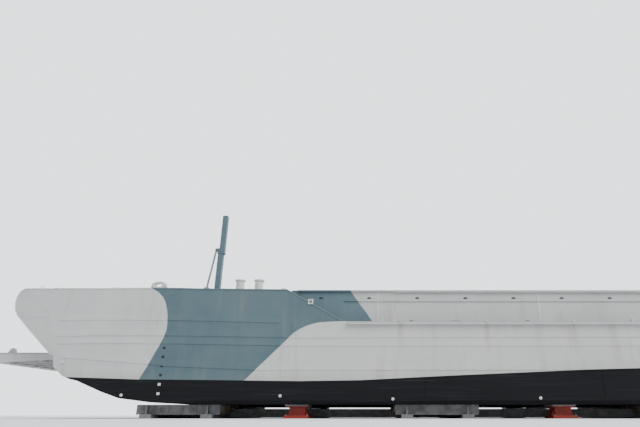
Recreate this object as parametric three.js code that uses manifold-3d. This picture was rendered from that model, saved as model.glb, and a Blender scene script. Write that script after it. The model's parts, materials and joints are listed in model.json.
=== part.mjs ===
// Military landing craft, a 1:2 scale model, as a three.js scene graph in millimetres.
// +X is forward, +Y is port and +Z is up. The origin is on the floor, under the middle of the model.
//
// Every size below is in metres of the full-size craft, and m() turns it into millimetres of the model.
// A place along the craft is u, in metres aft of frame 0, which is 0.55 m aft of the ramp's hinge.
// A height is z, in metres above the flat bottom.

import * as THREE from "three";
import { mergeVertices } from "three/addons/utils/BufferGeometryUtils.js";
import Module from "manifold-3d";

const wasm = await Module();
wasm.setup();

// Scale and frame
const SCALE = 1 / 2;
const m = (metres) => metres * 1000 * SCALE;
const GAP = 0.0008; // between touching pieces, 0.4 mm on the model
const CLEAR = 0.014; // round a moving piece, 7 mm on the model
const LENGTH_OVER_ALL = 58.14; // from the cheeks' tips to the transom
const CHEEK_TIP = -2.72;
const TRANSOM = CHEEK_TIP + LENGTH_OVER_ALL;
const CRADLE_HEIGHT = 0.45;
const ROUND = 20; // sides of a round piece

// A place given in metres forward of the transom
const fromTransom = (s) => TRANSOM - s;

// Hull
const HALF_BEAM = 4.57;
const BILGE = 0.12;
const DECK_Z = 2.78; // side deck and quarterdeck
const TANK_DECK_Z = 1.3;
const STEM = -0.26; // the hull's front face, under the ramp
const HOLD_HALF = 3.5; // half the width of the hold
const COAMING = { u0: 8.35, top: 4.12, thick: 0.06 };
const HOLD_END = fromTransom(15); // the hold's after bulkhead
const OPENING_HALF = 2.15; // half the width between the cheeks
// Where the hull's sections meet
const SECTIONS = { bow: 6, stern: fromTransom(11.5), poop: fromTransom(8.5) };

// Ramp
const HINGE = { u: -0.55, z: 1.74, pin: 0.04, slack: 0.012 };
const RAMP = { length: 3.2, half: 2.1, top: 1.93, heel: 0.22, deep: 0.37, tip: 0.14 };
const SILL_TOP = 1.9;
const MIDDLE = (HINGE.u - RAMP.length + TRANSOM) / 2;

// Bow deck: its height falls from the cheeks to the slope down to the side deck
const BOW_DECK = [
  [-1.13, 4.17],
  [1.1, 4.05],
  [4.9, 3.95],
  [8.1, 3.91],
  [10.1, DECK_Z],
];

// Stern
const HOUSE = { u0: fromTransom(14.8), u1: fromTransom(8.6), half: 3.2, z1: 5.1, wall: 0.08 };
const WHEEL = { u0: fromTransom(14.4), u1: fromTransom(11.8), half: 1.6, z1: 7.25, wall: 0.08 };
const ROOF_THICK = 0.08;
const ROOF_Z = HOUSE.z1 + ROOF_THICK + GAP;
const SCREEN = { height: 1.1, wall: 0.06, over: 0.35 };
const TUB = { u: fromTransom(10.2), y: 2.35, r: 1.2, height: 1.15, wall: 0.06 };
const FUNNEL = { u: fromTransom(9.5), z1: 8.1, long: 0.7, wide: 0.55 };
const MAST = { u: fromTransom(10.65), z1: 12.2, r: 0.13, yard: 2.2, yardZ: 10.6, lampZ: 9.33 };
const SKYLIGHT = { u0: fromTransom(8.0), u1: fromTransom(6.3), half: 0.75, side: 0.45, ridge: 0.85 };
const AFT_HATCH = { u0: fromTransom(5.6), u1: fromTransom(4.6), half: 0.5, up: 0.45, wall: 0.05 };
const HATCH = { u0: 0.9, u1: 1.7, y0: 2.85, y1: 3.45, z: 4.06, up: 0.1, wall: 0.05, deep: 1.6, lid: 0.05 };
const SHAFT = { y: 2.0, z: 0.72, u0: fromTransom(7.8), u1: fromTransom(4.5) };
const PROP = { u: fromTransom(4.15), r: 0.56, hub: 0.13, blades: 3 };
const RUDDER = { u: fromTransom(2.75), z0: 0.16, z1: 1.36, fore: 0.32, aft: 0.86, stock: 0.07 };
const RAMP_WINCH = { u: 3.0, y: 2.95, half: 0.3, drum: 0.08, wheel: 0.14, height: 0.3 };
const SHEAVE = { u: -1.6, y: 2.34, half: 0.07, r: 0.13, z: 4.33 };
const WINCH = { u: fromTransom(3.2), z: 0.62, drum: 0.28, flange: 0.48, half: 0.62 };

// Half of the hull's outline seen from above: u, and out from the middle
const PLAN = [
  [CHEEK_TIP, 2.98],
  [-2.0, 3.28],
  [-1.5, 3.45],
  [-0.5, 3.74],
  [1.0, 4.12],
  [2.5, 4.36],
  [4.2, 4.52],
  [SECTIONS.bow, HALF_BEAM],
  [fromTransom(5.5), HALF_BEAM],
  [fromTransom(2.9), 4.46],
  [fromTransom(1.1), 4.2],
  [fromTransom(0.3), 3.8],
  [TRANSOM, 3.2],
];

// The cheek's front edge seen from the side, from the forefoot up to the bow deck: u, z
const CHEEK = [
  [STEM, TANK_DECK_Z],
  [-0.37, 1.7],
  [-0.5, 1.74],
  [-2.44, 3.25],
  [-2.62, 3.46],
  [CHEEK_TIP, 3.76],
  [-2.69, 4.0],
  [-2.56, 4.18],
  [-2.36, 4.26],
  [-2.1, 4.25],
];

// The hull's bottom edge seen from the side: u, z
const FOREFOOT = [
  [STEM, 1.28],
  [0.19, 0.96],
  [0.51, 0.85],
  [0.85, 0.78],
  [1.8, 0.42],
  [2.51, 0.2],
  [3.67, 0.06],
  [5.4, 0],
];
const STERN_RISE = [
  [fromTransom(11), 0],
  [fromTransom(9), 0.22],
  [fromTransom(6.5), 1.02],
  [fromTransom(4.9), 1.45],
  [TRANSOM, 1.75],
];

const PAINT = {
  white: { color: 0xc4c4c2, roughness: 0.6, metalness: 0.1 },
  blue: { color: 0x71898f, roughness: 0.6, metalness: 0.1 },
  black: { color: 0x1e1f23, roughness: 0.7, metalness: 0.1 },
  deck: { color: 0x6d7376, roughness: 0.8, metalness: 0.1 },
  bronze: { color: 0x9a7b45, roughness: 0.4, metalness: 0.9 },
  grey: { color: 0x7f8486, roughness: 0.7, metalness: 0.2 },
  red: { color: 0x8e2f28, roughness: 0.6, metalness: 0.1 },
  cork: { color: 0xb9b29c, roughness: 0.9, metalness: 0 },
  steel: { color: 0x4a4d50, roughness: 0.5, metalness: 0.8 },
};

// Solids from three.js geometry

function solid(geometry) {
  const bare = geometry.clone();
  bare.deleteAttribute("normal");
  bare.deleteAttribute("uv");
  const merged = mergeVertices(bare, 1e-3);
  return new wasm.Manifold(
    new wasm.Mesh({
      numProp: 3,
      vertProperties: new Float32Array(merged.attributes.position.array),
      triVerts: new Uint32Array(merged.index.array),
    }),
  );
}

const join = (pieces) => pieces.reduce((a, b) => a.add(b));
const cut = (body, tools) => tools.reduce((a, b) => a.subtract(b), body);

// A place on the craft as a point of the model
const X = (u) => m(MIDDLE - u);
const Z = (z) => m(z + CRADLE_HEIGHT);
const at = (u, y, z) => new THREE.Vector3(X(u), m(y), Z(z));

function block(u0, u1, y0, y1, z0, z1) {
  const g = new THREE.BoxGeometry(m(u1 - u0), m(y1 - y0), m(z1 - z0));
  g.translate(X((u0 + u1) / 2), m((y0 + y1) / 2), Z((z0 + z1) / 2));
  return solid(g);
}

function extrude(points, depth) {
  const shape = new THREE.Shape(points.map(([a, b]) => new THREE.Vector2(a, b)));
  return new THREE.ExtrudeGeometry(shape, { depth, bevelEnabled: false, steps: 1 });
}

// An outline seen from above, as [u, y], between two heights
function fromAbove(outline, z0, z1) {
  const g = extrude(
    outline.map(([u, y]) => [X(u), m(y)]),
    m(z1 - z0),
  );
  g.translate(0, 0, Z(z0));
  return solid(g);
}

// An outline seen from the side, as [u, z], between two places across
function fromSide(outline, y0, y1) {
  const g = extrude(
    outline.map(([u, z]) => [X(u), Z(z)]),
    m(y1 - y0),
  );
  g.rotateX(Math.PI / 2);
  g.translate(0, m(y1), 0);
  return solid(g);
}

// An outline seen from ahead, as [y, z], between two places along the craft
function fromAhead(outline, u0, u1) {
  const g = extrude(
    outline.map(([y, z]) => [m(y), Z(z)]),
    m(u1 - u0),
  );
  g.rotateX(Math.PI / 2);
  g.rotateZ(Math.PI / 2);
  g.translate(X(u1), 0, 0);
  return solid(g);
}

// A round bar between two points, with one radius or a radius at each end
function bar(from, to, r0, r1 = r0, sides = 12) {
  const along = to.clone().sub(from);
  const g = new THREE.CylinderGeometry(m(r1), m(r0), along.length(), sides);
  g.translate(0, along.length() / 2, 0);
  const up = new THREE.Vector3(0, 1, 0);
  g.applyQuaternion(new THREE.Quaternion().setFromUnitVectors(up, along.clone().normalize()));
  g.translate(from.x, from.y, from.z);
  return solid(g);
}

// A turned piece: its profile as [radius, height] in metres, up from a point
function turned(profile, place, sides = ROUND) {
  const g = new THREE.LatheGeometry(
    profile.map(([r, h]) => new THREE.Vector2(m(r), m(h))),
    sides,
  );
  g.rotateX(Math.PI / 2);
  g.translate(place.x, place.y, place.z);
  return solid(g);
}

// A bent bar through a list of points
function bent(points, r, sides = 8) {
  const pieces = points.slice(1).map((p, i) => bar(points[i], p, r, r, sides));
  const knees = points.slice(1, -1).map((p) => {
    const g = new THREE.SphereGeometry(m(r) * 1.02, sides, sides / 2);
    g.translate(p.x, p.y, p.z);
    return solid(g);
  });
  return join([...pieces, ...knees]);
}

const root = new THREE.Group();

function piece(name, body, paint) {
  const made = body.getMesh();
  const g = new THREE.BufferGeometry();
  g.setAttribute("position", new THREE.BufferAttribute(new Float32Array(made.vertProperties), 3));
  g.setIndex(new THREE.BufferAttribute(new Uint32Array(made.triVerts), 1));
  g.computeVertexNormals();
  const mesh = new THREE.Mesh(g, new THREE.MeshStandardMaterial(PAINT[paint]));
  mesh.name = name;
  root.add(mesh);
}

const SIDES = [
  ["port", 1],
  ["starboard", -1],
];

// Outline helpers

const planRing = () => [...PLAN, ...PLAN.map(([u, y]) => [u, -y]).reverse()];
const across = (points, side) => (side > 0 ? points : points.map(([u, y]) => [u, -y]));
const mirrored = (points, side) => points.map(([y, z]) => [side * y, z]);
const blockSide = (side, u0, u1, y0, y1, z0, z1) =>
  side > 0 ? block(u0, u1, y0, y1, z0, z1) : block(u0, u1, -y1, -y0, z0, z1);

// Hull

// The hull's cross-section up to a height
const hullSection = (top) => [
  [-HALF_BEAM, BILGE],
  [-HALF_BEAM + BILGE, 0],
  [HALF_BEAM - BILGE, 0],
  [HALF_BEAM, BILGE],
  [HALF_BEAM, top],
  [-HALF_BEAM, top],
];

// Mushroom vents and lockers on the quarterdeck
const DECK_VENTS = [
  [fromTransom(5.9), 1.5],
  [fromTransom(7.6), 3.6],
];
const DECK_LOCKER = { u0: fromTransom(3.6), u1: fromTransom(2.7), y0: 2.7, y1: 3.3, up: 0.5 };

// A mushroom vent that stands in a deck, with a head of radius r
function mushroom(u, y, z, r) {
  const profile = [
    [0, -0.02],
    [r * 0.45, -0.02],
    [r * 0.45, r * 1.45],
    [r, r * 1.5],
    [r, r * 1.75],
    [r * 0.6, r * 2.1],
    [0, r * 2.2],
  ];
  return turned(profile, at(u, y, z), 14);
}

function quarterFittings() {
  const { u0, u1, y0, y1, up } = DECK_LOCKER;
  return SIDES.flatMap(([, s]) => [
    ...DECK_VENTS.map(([u, y]) => mushroom(u, s * y, DECK_Z, 0.24)),
    blockSide(s, u0, u1, y0, y1, DECK_Z - 0.02, DECK_Z + up),
    blockSide(s, u0 - 0.04, u1 + 0.04, y0 - 0.04, y1 + 0.04, DECK_Z + up - 0.01, DECK_Z + up + 0.04),
  ]);
}

// The rudder stocks' trunks, or the holes through them
function rudderTrunks(low, high, r) {
  return SIDES.map(([, s]) => bar(at(RUDDER.u, s * SHAFT.y, low), at(RUDDER.u, s * SHAFT.y, high), r, r, 16));
}

function hullBottom() {
  const outline = fromAbove(planRing(), -0.2, 3.2);
  const top = TANK_DECK_Z - GAP;
  const { bow, stern, poop } = SECTIONS;
  const low = fromAhead(hullSection(top), -2, TRANSOM);
  const fore = fromSide([...FOREFOOT, [bow, 0], [bow, top], [STEM, top]], -5, 5);
  piece("hull_bottom_bow", fore.intersect(outline).intersect(low), "black");
  piece("hull_bottom_middle", fromAhead(hullSection(top), bow + GAP, stern - GAP), "black");

  const profile = [
    [stern, 0],
    ...STERN_RISE,
    [TRANSOM, DECK_Z],
    [poop, DECK_Z],
    [poop, top],
    [stern, top],
  ];
  const skeg = [
    [fromTransom(10.9), 0],
    [fromTransom(3.7), 0.02],
    [fromTransom(3.4), 0.3],
    [fromTransom(3.4), 1.5],
    [fromTransom(8.5), 1.1],
    [fromTransom(10.5), 0.5],
  ];
  const full = fromAhead(hullSection(DECK_Z), stern, TRANSOM + 1);
  const shell = fromSide(profile, -5, 5).intersect(outline).intersect(full);
  const fin = fromSide(skeg, -0.06, 0.06);
  const body = join([shell, fin, ...rudderTrunks(1.44, 2, 0.17), ...quarterFittings()]);
  piece("hull_bottom_stern", cut(body, rudderTrunks(1.3, 1.95, RUDDER.stock + CLEAR)), "black");
}

function sternHull() {
  const poop = SECTIONS.poop - GAP;
  const body = block(HOLD_END, poop, -HALF_BEAM, HALF_BEAM, TANK_DECK_Z, DECK_Z);
  const climb = ladder(HOLD_END - 0.15, -2.6, TANK_DECK_Z + 0.06, DECK_Z + 0.1, HOLD_END + 0.02);
  piece("stern_hull", body.add(climb), "white");
}

function tankDeck() {
  const z = TANK_DECK_Z;
  const thick = 0.05;
  const plan = [
    [STEM, OPENING_HALF - GAP],
    [2.6, OPENING_HALF - GAP],
    [5.2, HOLD_HALF - GAP],
    [HOLD_END - GAP, HOLD_HALF - GAP],
  ];
  const ring = [...plan, ...plan.map(([u, y]) => [u, -y]).reverse()];
  const profile = [
    [STEM, z],
    [HOLD_END, z],
    [HOLD_END, z + thick],
    [4, z + thick],
    [0.5, SILL_TOP],
    [STEM, SILL_TOP],
  ];
  const ribs = [];
  for (let u = 4.4; u < HOLD_END - 0.5; u += 1.6) {
    ribs.push(block(u, u + 0.08, -2.9, 2.9, z + thick - 0.01, z + thick + 0.03));
  }
  piece("tank_deck", join([fromSide(profile, -4, 4).intersect(fromAbove(ring, 1, 3)), ...ribs]), "deck");
}

function sideTanks() {
  const u0 = BOW_DECK.at(-1)[0] + GAP;
  for (const [name, s] of SIDES) {
    const tank = blockSide(s, u0, HOLD_END - GAP, HOLD_HALF, HALF_BEAM, TANK_DECK_Z, DECK_Z);
    piece(name + "_side_tank", tank, "white");
  }
}

// The raised bow part with its cheek, in plan and from the side
function bowWings() {
  const foot = BOW_DECK.at(-1)[0];
  const inner = [
    [foot, HOLD_HALF],
    [5.2, HOLD_HALF],
    [2.6, OPENING_HALF],
    [CHEEK_TIP, OPENING_HALF],
  ];
  const outer = [...PLAN.filter(([u]) => u < foot), [foot, HALF_BEAM]];
  const profile = fromSide([...CHEEK, ...BOW_DECK, [foot, TANK_DECK_Z]], -5, 5);
  for (const [name, s] of SIDES) {
    const body = profile.intersect(fromAbove(across([...outer, ...inner], s), 0.5, 5));
    const hatch = storeHatch(s);
    const post = turned(MOORING_HEAD, at(7.9, s * 4.1, bowDeckZ(7.9)), 16);
    const whole = join([body, hatch.coaming, post, ...rampWinch(s), ...rampSheave(s)]);
    piece(name + "_bow_wing", cut(whole, [hatch.hole]), "white");
  }
}

const MOORING_HEAD = [
  [0, -0.03],
  [0.13, -0.03],
  [0.13, 0.1],
  [0.1, 0.14],
  [0, 0.15],
];

// The hand winch for the ramp's wire, inboard on the bow deck
function rampWinch(s) {
  const { u, y, half, drum, wheel, height } = RAMP_WINCH;
  const z = bowDeckZ(u);
  const axis = (along) => at(along, s * y, z + height * 0.6);
  const cheek = [
    [y - 0.2, z],
    [y + 0.2, z],
    [y + 0.1, z + height],
    [y - 0.1, z + height],
  ];
  return [
    blockSide(s, u - half - 0.12, u + half + 0.12, y - 0.28, y + 0.28, z - 0.05, z + 0.03),
    ...[-half, half - 0.04].map((d) => fromAhead(mirrored(cheek, s), u + d, u + d + 0.04)),
    bar(axis(u - half - 0.1), axis(u + half + 0.1), drum, drum, 12),
    bar(axis(u - half - 0.12), axis(u - half - 0.06), wheel, wheel, 16),
  ];
}

// The sheave at each cheek that the ramp's wire runs over
function rampSheave(s) {
  const { u, y, half, r, z } = SHEAVE;
  const foot = bowDeckZ(u) - 0.04;
  const cheek = [
    [u - 0.22, foot],
    [u + 0.22, foot],
    [u + 0.1, z + 0.12],
    [u - 0.1, z + 0.12],
  ];
  const thick = 0.02;
  const plate = (middle) => fromSide(cheek, middle - thick / 2, middle + thick / 2);
  return [
    ...[-1, 1].map((way) => plate(s * y + way * (half + thick / 2))),
    bar(at(u, s * (y - half), z), at(u, s * (y + half), z), r, r, 16),
  ];
}

// A square hatch in each bow wing, with a lid that rests over its coaming
function storeHatch(s) {
  const { u0, u1, y0, y1, z, up, wall, deep } = HATCH;
  return {
    coaming: blockSide(s, u0, u1, y0, y1, z - 0.1, z + up),
    hole: blockSide(s, u0 + wall, u1 - wall, y0 + wall, y1 - wall, z - deep, z + up + 0.1),
  };
}

function bowHatchLids() {
  const { u0, u1, y0, y1, up, lid } = HATCH;
  const z = HATCH.z + up + CLEAR;
  const hingeY = y0 - 0.07;
  for (const [name, s] of SIDES) {
    const plate = blockSide(s, u0 - 0.03, u1 + 0.03, y0 - 0.03, y1 + 0.03, z, z + lid);
    const knuckle = bar(at(u0 + 0.1, s * hingeY, z + lid / 2), at(u1 - 0.1, s * hingeY, z + lid / 2), 0.03);
    const strap = (u) => blockSide(s, u, u + 0.1, hingeY, y0, z + 0.01, z + lid - 0.01);
    piece(name + "_bow_hatch_lid", join([plate, knuckle, strap(u0 + 0.15), strap(u1 - 0.25)]), "white");
  }
}

function coamings() {
  const { u0, top, thick } = COAMING;
  const foot = BOW_DECK.at(-1)[0] + 0.02;
  const end = HOLD_END - GAP;
  const y0 = HOLD_HALF - thick - GAP;
  const low = TANK_DECK_Z + 0.06;
  const profile = [
    [foot, low],
    [end, low],
    [end, top],
    [u0, top],
    [u0, DECK_Z - 0.1],
    [foot, DECK_Z - 0.1],
  ];
  for (const [name, s] of SIDES) {
    const plate = fromSide(profile, s > 0 ? y0 : -y0 - thick, s > 0 ? y0 + thick : -y0);
    const flange = blockSide(s, u0, end, y0 - 0.02, y0 + 0.16, top - 0.05, top);
    const bead = blockSide(s, foot, end, y0 + 0.03, y0 + 0.1, top - 0.42, top - 0.36);
    piece(name + "_coaming", join([plate, flange, bead]), "white");
  }
}

function strakes() {
  const out = 0.15;
  const half = 0.06;
  const z = DECK_Z - 0.09;
  const y0 = HALF_BEAM + GAP;
  const outline = [
    [y0, z - half],
    [y0 + out, z - half * 0.4],
    [y0 + out, z + half * 0.4],
    [y0, z + half],
  ];
  for (const [name, s] of SIDES) {
    piece(name + "_rubbing_strake", fromAhead(mirrored(outline, s), 10.3, fromTransom(6)), "white");
  }
}

const LUGS = [-1.75, -0.875, 0, 0.875, 1.75]; // places of the ramp's hinge eyes, across
const EYE_HALF = 0.09;

function bowSill() {
  const lug = 0.05;
  const { u, z, pin } = HINGE;
  const heel = STEM - GAP;
  const wide = OPENING_HALF - GAP;
  const beam = block(heel - 0.14, heel, -wide, wide, TANK_DECK_Z, z - 0.1);
  const outline = [
    [heel, TANK_DECK_Z],
    [heel, z + 0.08],
    [u - 0.05, z + 0.08],
    [u - 0.08, z],
    [u - 0.05, z - 0.09],
    [heel - 0.12, TANK_DECK_Z],
  ];
  const lugs = LUGS.flatMap((y) =>
    [y - EYE_HALF - CLEAR - lug, y + EYE_HALF + CLEAR].map((y0) => fromSide(outline, y0, y0 + lug)),
  );
  piece("bow_sill", join([beam, bar(at(u, -RAMP.half, z), at(u, RAMP.half, z), pin), ...lugs]), "white");
}

// The ramp lies level ahead of its hinge and is deepest near its tip. f is a place forward of the hinge.
function bowRamp() {
  const { length, half, top, deep, heel, tip } = RAMP;
  const { z, pin, slack } = HINGE;
  const u = (f) => HINGE.u - f;
  const back = 0.13;
  const profile = [
    [u(back), top],
    [u(length), top - 0.02],
    [u(length), top - tip],
    [u(length - 0.25), top - deep],
    [u(1.0), top - heel - 0.03],
    [u(back), top - heel],
  ];
  const eye = [
    [u(-0.06), z - 0.05],
    [u(-0.06), z + 0.05],
    [u(0), z + 0.09],
    [u(back + 0.1), top - 0.02],
    [u(back + 0.1), top - heel + 0.02],
    [u(0), z - 0.09],
  ];
  const bays = 6;
  const girder = 0.12;
  const pitch = (2 * half - girder) / bays;
  const pockets = [];
  for (let i = 0; i < bays; i++) {
    const y0 = -half + girder + i * pitch;
    for (const [a, b] of [
      [0.35, 1.35],
      [1.45, 2.6],
    ]) {
      pockets.push(block(u(b), u(a), y0, y0 + pitch - girder, top - 0.6, top - 0.06));
    }
  }
  const bars = [];
  for (let f = 0.3; f < length - 0.2; f += 0.28) {
    bars.push(block(u(f + 0.06), u(f), -1.95, 1.95, top - 0.03, top + 0.03));
  }
  const eyes = LUGS.map((y) => fromSide(eye, y - EYE_HALF, y + EYE_HALF));
  const bore = bar(at(HINGE.u, -half - 0.2, z), at(HINGE.u, half + 0.2, z), pin + slack);
  const whole = join([fromSide(profile, -half, half), ...eyes, ...bars]);
  piece("bow_ramp", cut(whole, [...pockets, bore]), "white");
}

// Deck fittings

// Height of the bow deck at a place
function bowDeckZ(u) {
  const line = [CHEEK.at(-1), ...BOW_DECK];
  const i = line.findIndex(([place]) => place >= u);
  const [[u0, z0], [u1, z1]] = [line[i - 1], line[i]];
  return z0 + ((z1 - z0) * (u - u0)) / (u1 - u0);
}

// A closed oval fairlead on its foot
function fairleads() {
  const u = 3.26;
  const z = bowDeckZ(u) + 0.014;
  const eye = [
    [0.13, -0.07],
    [0.28, -0.07],
    [0.28, 0.07],
    [0.13, 0.07],
    [0.13, -0.07],
  ];
  for (const [name, s] of SIDES) {
    const y = s * 4.12;
    const ring = new THREE.LatheGeometry(
      eye.map(([r, h]) => new THREE.Vector2(m(r), m(h))),
      ROUND,
    );
    ring.scale(1, 1, 0.52);
    ring.translate(X(u), m(y), Z(z + 0.17));
    const foot = block(u - 0.48, u + 0.48, y - 0.1, y + 0.1, z, z + 0.05);
    piece(name + "_bow_fairlead", join([solid(ring), foot]), "white");
  }
}

function bollardPair(name, u0, u1, y, z, paint) {
  const profile = [
    [0, 0],
    [0.15, 0],
    [0.15, 0.34],
    [0.195, 0.36],
    [0.195, 0.42],
    [0, 0.42],
  ];
  const base = block(u0 - 0.28, u1 + 0.28, y - 0.2, y + 0.2, z, z + 0.03);
  piece(name, join([base, ...[u0, u1].map((u) => turned(profile, at(u, y, z + 0.02), 16))]), paint);
}

// One tall post on the port side only, doubled in its lower half, with a strut ahead of it
function bowPost() {
  const u = 5.5;
  const y = 4.22;
  const z = bowDeckZ(u) + 0.014;
  const half = 0.11;
  const post = block(u - half, u + half, y - half, y + half, z, 6.9);
  const doubled = block(u - half - 0.06, u + half + 0.06, y - half - 0.04, y + half + 0.04, z, z + 1.55);
  const foot = block(u - 0.58, u + 0.3, y - 0.2, y + 0.2, z, z + 0.03);
  const strut = bar(at(u - 0.44, y, z + 0.02), at(u - 0.05, y, z + 1.45), 0.035);
  piece("bow_post", join([post, doubled, foot, strut]), "blue");
}

// Stern upper works

const DOOR = { width: 0.7, sill: 0.25, head: 1.95 };
const HOUSE_DOOR_U = HOUSE.u0 + 3.2;
const HOUSE_LIGHTS = {
  side: [0.7, 1.9, 4.8],
  aft: [-2.3, -0.9, 0.9],
  ahead: [-2.3, -0.9, 0.9, 2.3],
  up: 1.45,
  r: 0.17,
};
const ROOF_VENTS = [
  [fromTransom(14.5), 2.4],
  [fromTransom(9.0), 1.4],
];
const ROOF_LOCKER = { u0: fromTransom(9.0), u1: fromTransom(8.55), y0: 2.7, y1: 3.1, up: 0.42 };

function houseWalls() {
  const { u0, u1, half, z1, wall } = HOUSE;
  const z0 = DECK_Z + GAP;
  const { up, r, side, aft, ahead } = HOUSE_LIGHTS;
  const light = (u, y, du, dy) => bar(at(u - du, y - dy, z0 + up), at(u + du, y + dy, z0 + up), r, r, 16);
  const end = HOUSE_DOOR_U + DOOR.width;
  const [foot, head] = [z0 + DOOR.sill, z0 + DOOR.head];
  const door = (s) => block(HOUSE_DOOR_U, end, s * half - 0.3, s * half + 0.3, foot, head);
  const tools = [
    block(u0 + wall, u1 - wall, -half + wall, half - wall, z0 - 0.1, z1 + 0.1),
    ...SIDES.map(([, s]) => door(s)),
    ...SIDES.flatMap(([, s]) => side.map((du) => light(u0 + du, s * half, 0, 0.3))),
    ...aft.map((y) => light(u1, y, 0.3, 0)),
    ...ahead.map((y) => light(u0, y, 0.3, 0)),
  ];
  const climb = ladder(u1 + 0.28, 2.55, z0, z1 + 0.9, u1 - 0.02);
  piece("deckhouse_walls", cut(block(u0, u1, -half, half, z0, z1 - GAP), tools).add(climb), "white");
}

// The deckhouse roof with its mushroom vents and lockers
function houseRoof() {
  const { u0, u1, half, z1 } = HOUSE;
  const top = z1 + ROOF_THICK;
  const { up, ...locker } = ROOF_LOCKER;
  const fittings = SIDES.flatMap(([, s]) => [
    ...ROOF_VENTS.map(([u, y]) => mushroom(u, s * y, top, 0.2)),
    blockSide(s, locker.u0, locker.u1, locker.y0, locker.y1, top - 0.02, top + up),
  ]);
  const slab = block(u0 - 0.1, u1 + 0.15, -half - 0.1, half + 0.1, z1, top);
  piece("deckhouse_roof", join([slab, ...fittings]), "deck");
}

function wheelhouse() {
  const { u0, u1, half, z1, wall } = WHEEL;
  const z0 = ROOF_Z;
  const outer = block(u0, u1, -half, half, z0, z1 - GAP);
  const tools = [block(u0 + wall, u1 - wall, -half + wall, half - wall, z0 - 0.1, z1 + 0.1)];
  for (const y of [-1.05, -0.35, 0.35, 1.05]) {
    tools.push(block(u0 - 0.3, u0 + 0.3, y - 0.24, y + 0.24, z0 + 1.2, z0 + 1.65));
  }
  for (const s of [1, -1]) {
    tools.push(block(u0 + 0.35, u0 + 0.95, s * half - 0.3, s * half + 0.3, z0 + 1.2, z0 + 1.65));
  }
  tools.push(block(u1 - 0.3, u1 + 0.3, -0.35, 0.35, z0 + 0.15, z0 + 1.8));
  const climb = ladder(u1 + 0.28, -1.05, z0, z1 + 0.9, u1 - 0.02);
  piece("wheelhouse", cut(outer, tools).add(climb), "white");
}

const LIGHT_BOARD = { u: WHEEL.u0 + 0.55, long: 0.6, wide: 0.18, high: 0.3 };
const SIGNAL = { u: fromTransom(12.2), y: 1.82, r: 0.16, up: 0.22 };

// The wheelhouse roof with the side lights on their boards at its edges
function wheelhouseRoof() {
  const { u0, u1, half, z1 } = WHEEL;
  const top = z1 + ROOF_THICK;
  const edge = half + 0.35;
  const { u, long, wide, high } = LIGHT_BOARD;
  const lamp = (s, up) => at(u + long - 0.14, s * (edge + 0.1), top + up);
  const boards = SIDES.flatMap(([, s]) => [
    blockSide(s, u, u + long, edge - 0.02, edge + wide, z1 + 0.03, top),
    blockSide(s, u, u + long, edge - 0.02, edge + 0.02, z1 + 0.03, top + high),
    blockSide(s, u + long - 0.04, u + long, edge - 0.02, edge + wide, z1 + 0.03, top + high),
    bar(lamp(s, -0.01), lamp(s, 0.18), 0.07),
  ]);
  piece("wheelhouse_roof", join([block(u0 - 0.35, u1 + 0.15, -edge, edge, z1, top), ...boards]), "deck");
}

// The screen round the open bridge, seen from above, with a signal lamp on each side of it
function bridgeScreen() {
  const { u0, u1, half, z1 } = WHEEL;
  const { height, wall, over } = SCREEN;
  const low = z1 + ROOF_THICK + GAP;
  const front = u0 - over + 0.05;
  const back = u1 + 0.08;
  const wide = half + over - 0.05;
  const corner = 0.8;
  const outline = (inset) => {
    const end = inset ? back + 0.1 : back;
    return [
      [end, -wide + inset],
      [front + corner, -wide + inset],
      [front + inset, -wide + corner],
      [front + inset, wide - corner],
      [front + corner, wide - inset],
      [end, wide - inset],
    ];
  };
  const walls = cut(fromAbove(outline(0), low, low + height), [
    fromAbove(outline(wall), low - 0.1, low + height + 0.1),
  ]);
  const { u, y, r, up } = SIGNAL;
  const lamps = SIDES.flatMap(([, s]) => [
    bar(at(u, s * y, low + 0.4), at(u, s * y, low + height + up), 0.045, 0.045, 10),
    bar(at(u - 0.15, s * y, low + height + up), at(u + 0.15, s * y, low + height + up), r, r, 16),
  ]);
  piece("bridge_screen", join([walls, ...lamps]), "white");
}

// The open bridge's platform with its compass stand, two bearing stands and two voice pipes
function bridgePlatform() {
  const low = WHEEL.z1 + ROOF_THICK + GAP;
  const thick = 0.04;
  const top = low + thick - 0.01;
  const compass = [
    [0, 0],
    [0.2, 0],
    [0.13, 0.1],
    [0.11, 0.75],
    [0.17, 0.86],
    [0.17, 0.93],
    [0, 0.96],
  ];
  const bearing = [
    [0, 0],
    [0.09, 0],
    [0.05, 0.06],
    [0.05, 0.8],
    [0.14, 0.84],
    [0.14, 1.05],
    [0, 1.08],
  ];
  const u = WHEEL.u0 + 0.3;
  const back = u + 0.08;
  const slab = block(WHEEL.u0 + 0.08, WHEEL.u1 - 0.1, -1.4, 1.4, low, low + thick);
  const stands = SIDES.flatMap(([, s]) => [
    turned(bearing, at(u - 0.05, s, top), 12),
    bent([at(back, s * 0.55, top), at(back, s * 0.55, top + 0.8), at(u - 0.02, s * 0.55, top + 0.95)], 0.035),
  ]);
  piece("bridge_platform", join([slab, turned(compass, at(u, 0, top), 16), ...stands]), "grey");
}

// Two round splinter tubs with rings round them
function tubs() {
  const { u, y, r, height, wall } = TUB;
  const ring = 0.03;
  const profile = [
    [0, 0],
    [r + ring, 0],
    [r + ring, 0.06],
    [r, 0.06],
    [r, 0.58],
    [r + ring, 0.59],
    [r + ring, 0.61],
    [r, 0.62],
    [r, height - 0.05],
    [r + ring, height - 0.05],
    [r + ring, height],
    [r - wall, height],
    [r - wall, 0.06],
    [0, 0.06],
  ];
  for (const [name, s] of SIDES) {
    piece(name + "_splinter_tub", turned(profile, at(u, s * y, ROOF_Z), 28), "white");
  }
}

// The escape pipe up the funnel's front
const ESCAPE = { u: FUNNEL.u - 0.82, y: 0.2, r: 0.05, over: 0.15, bands: [0.7, 2.2] };

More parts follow.
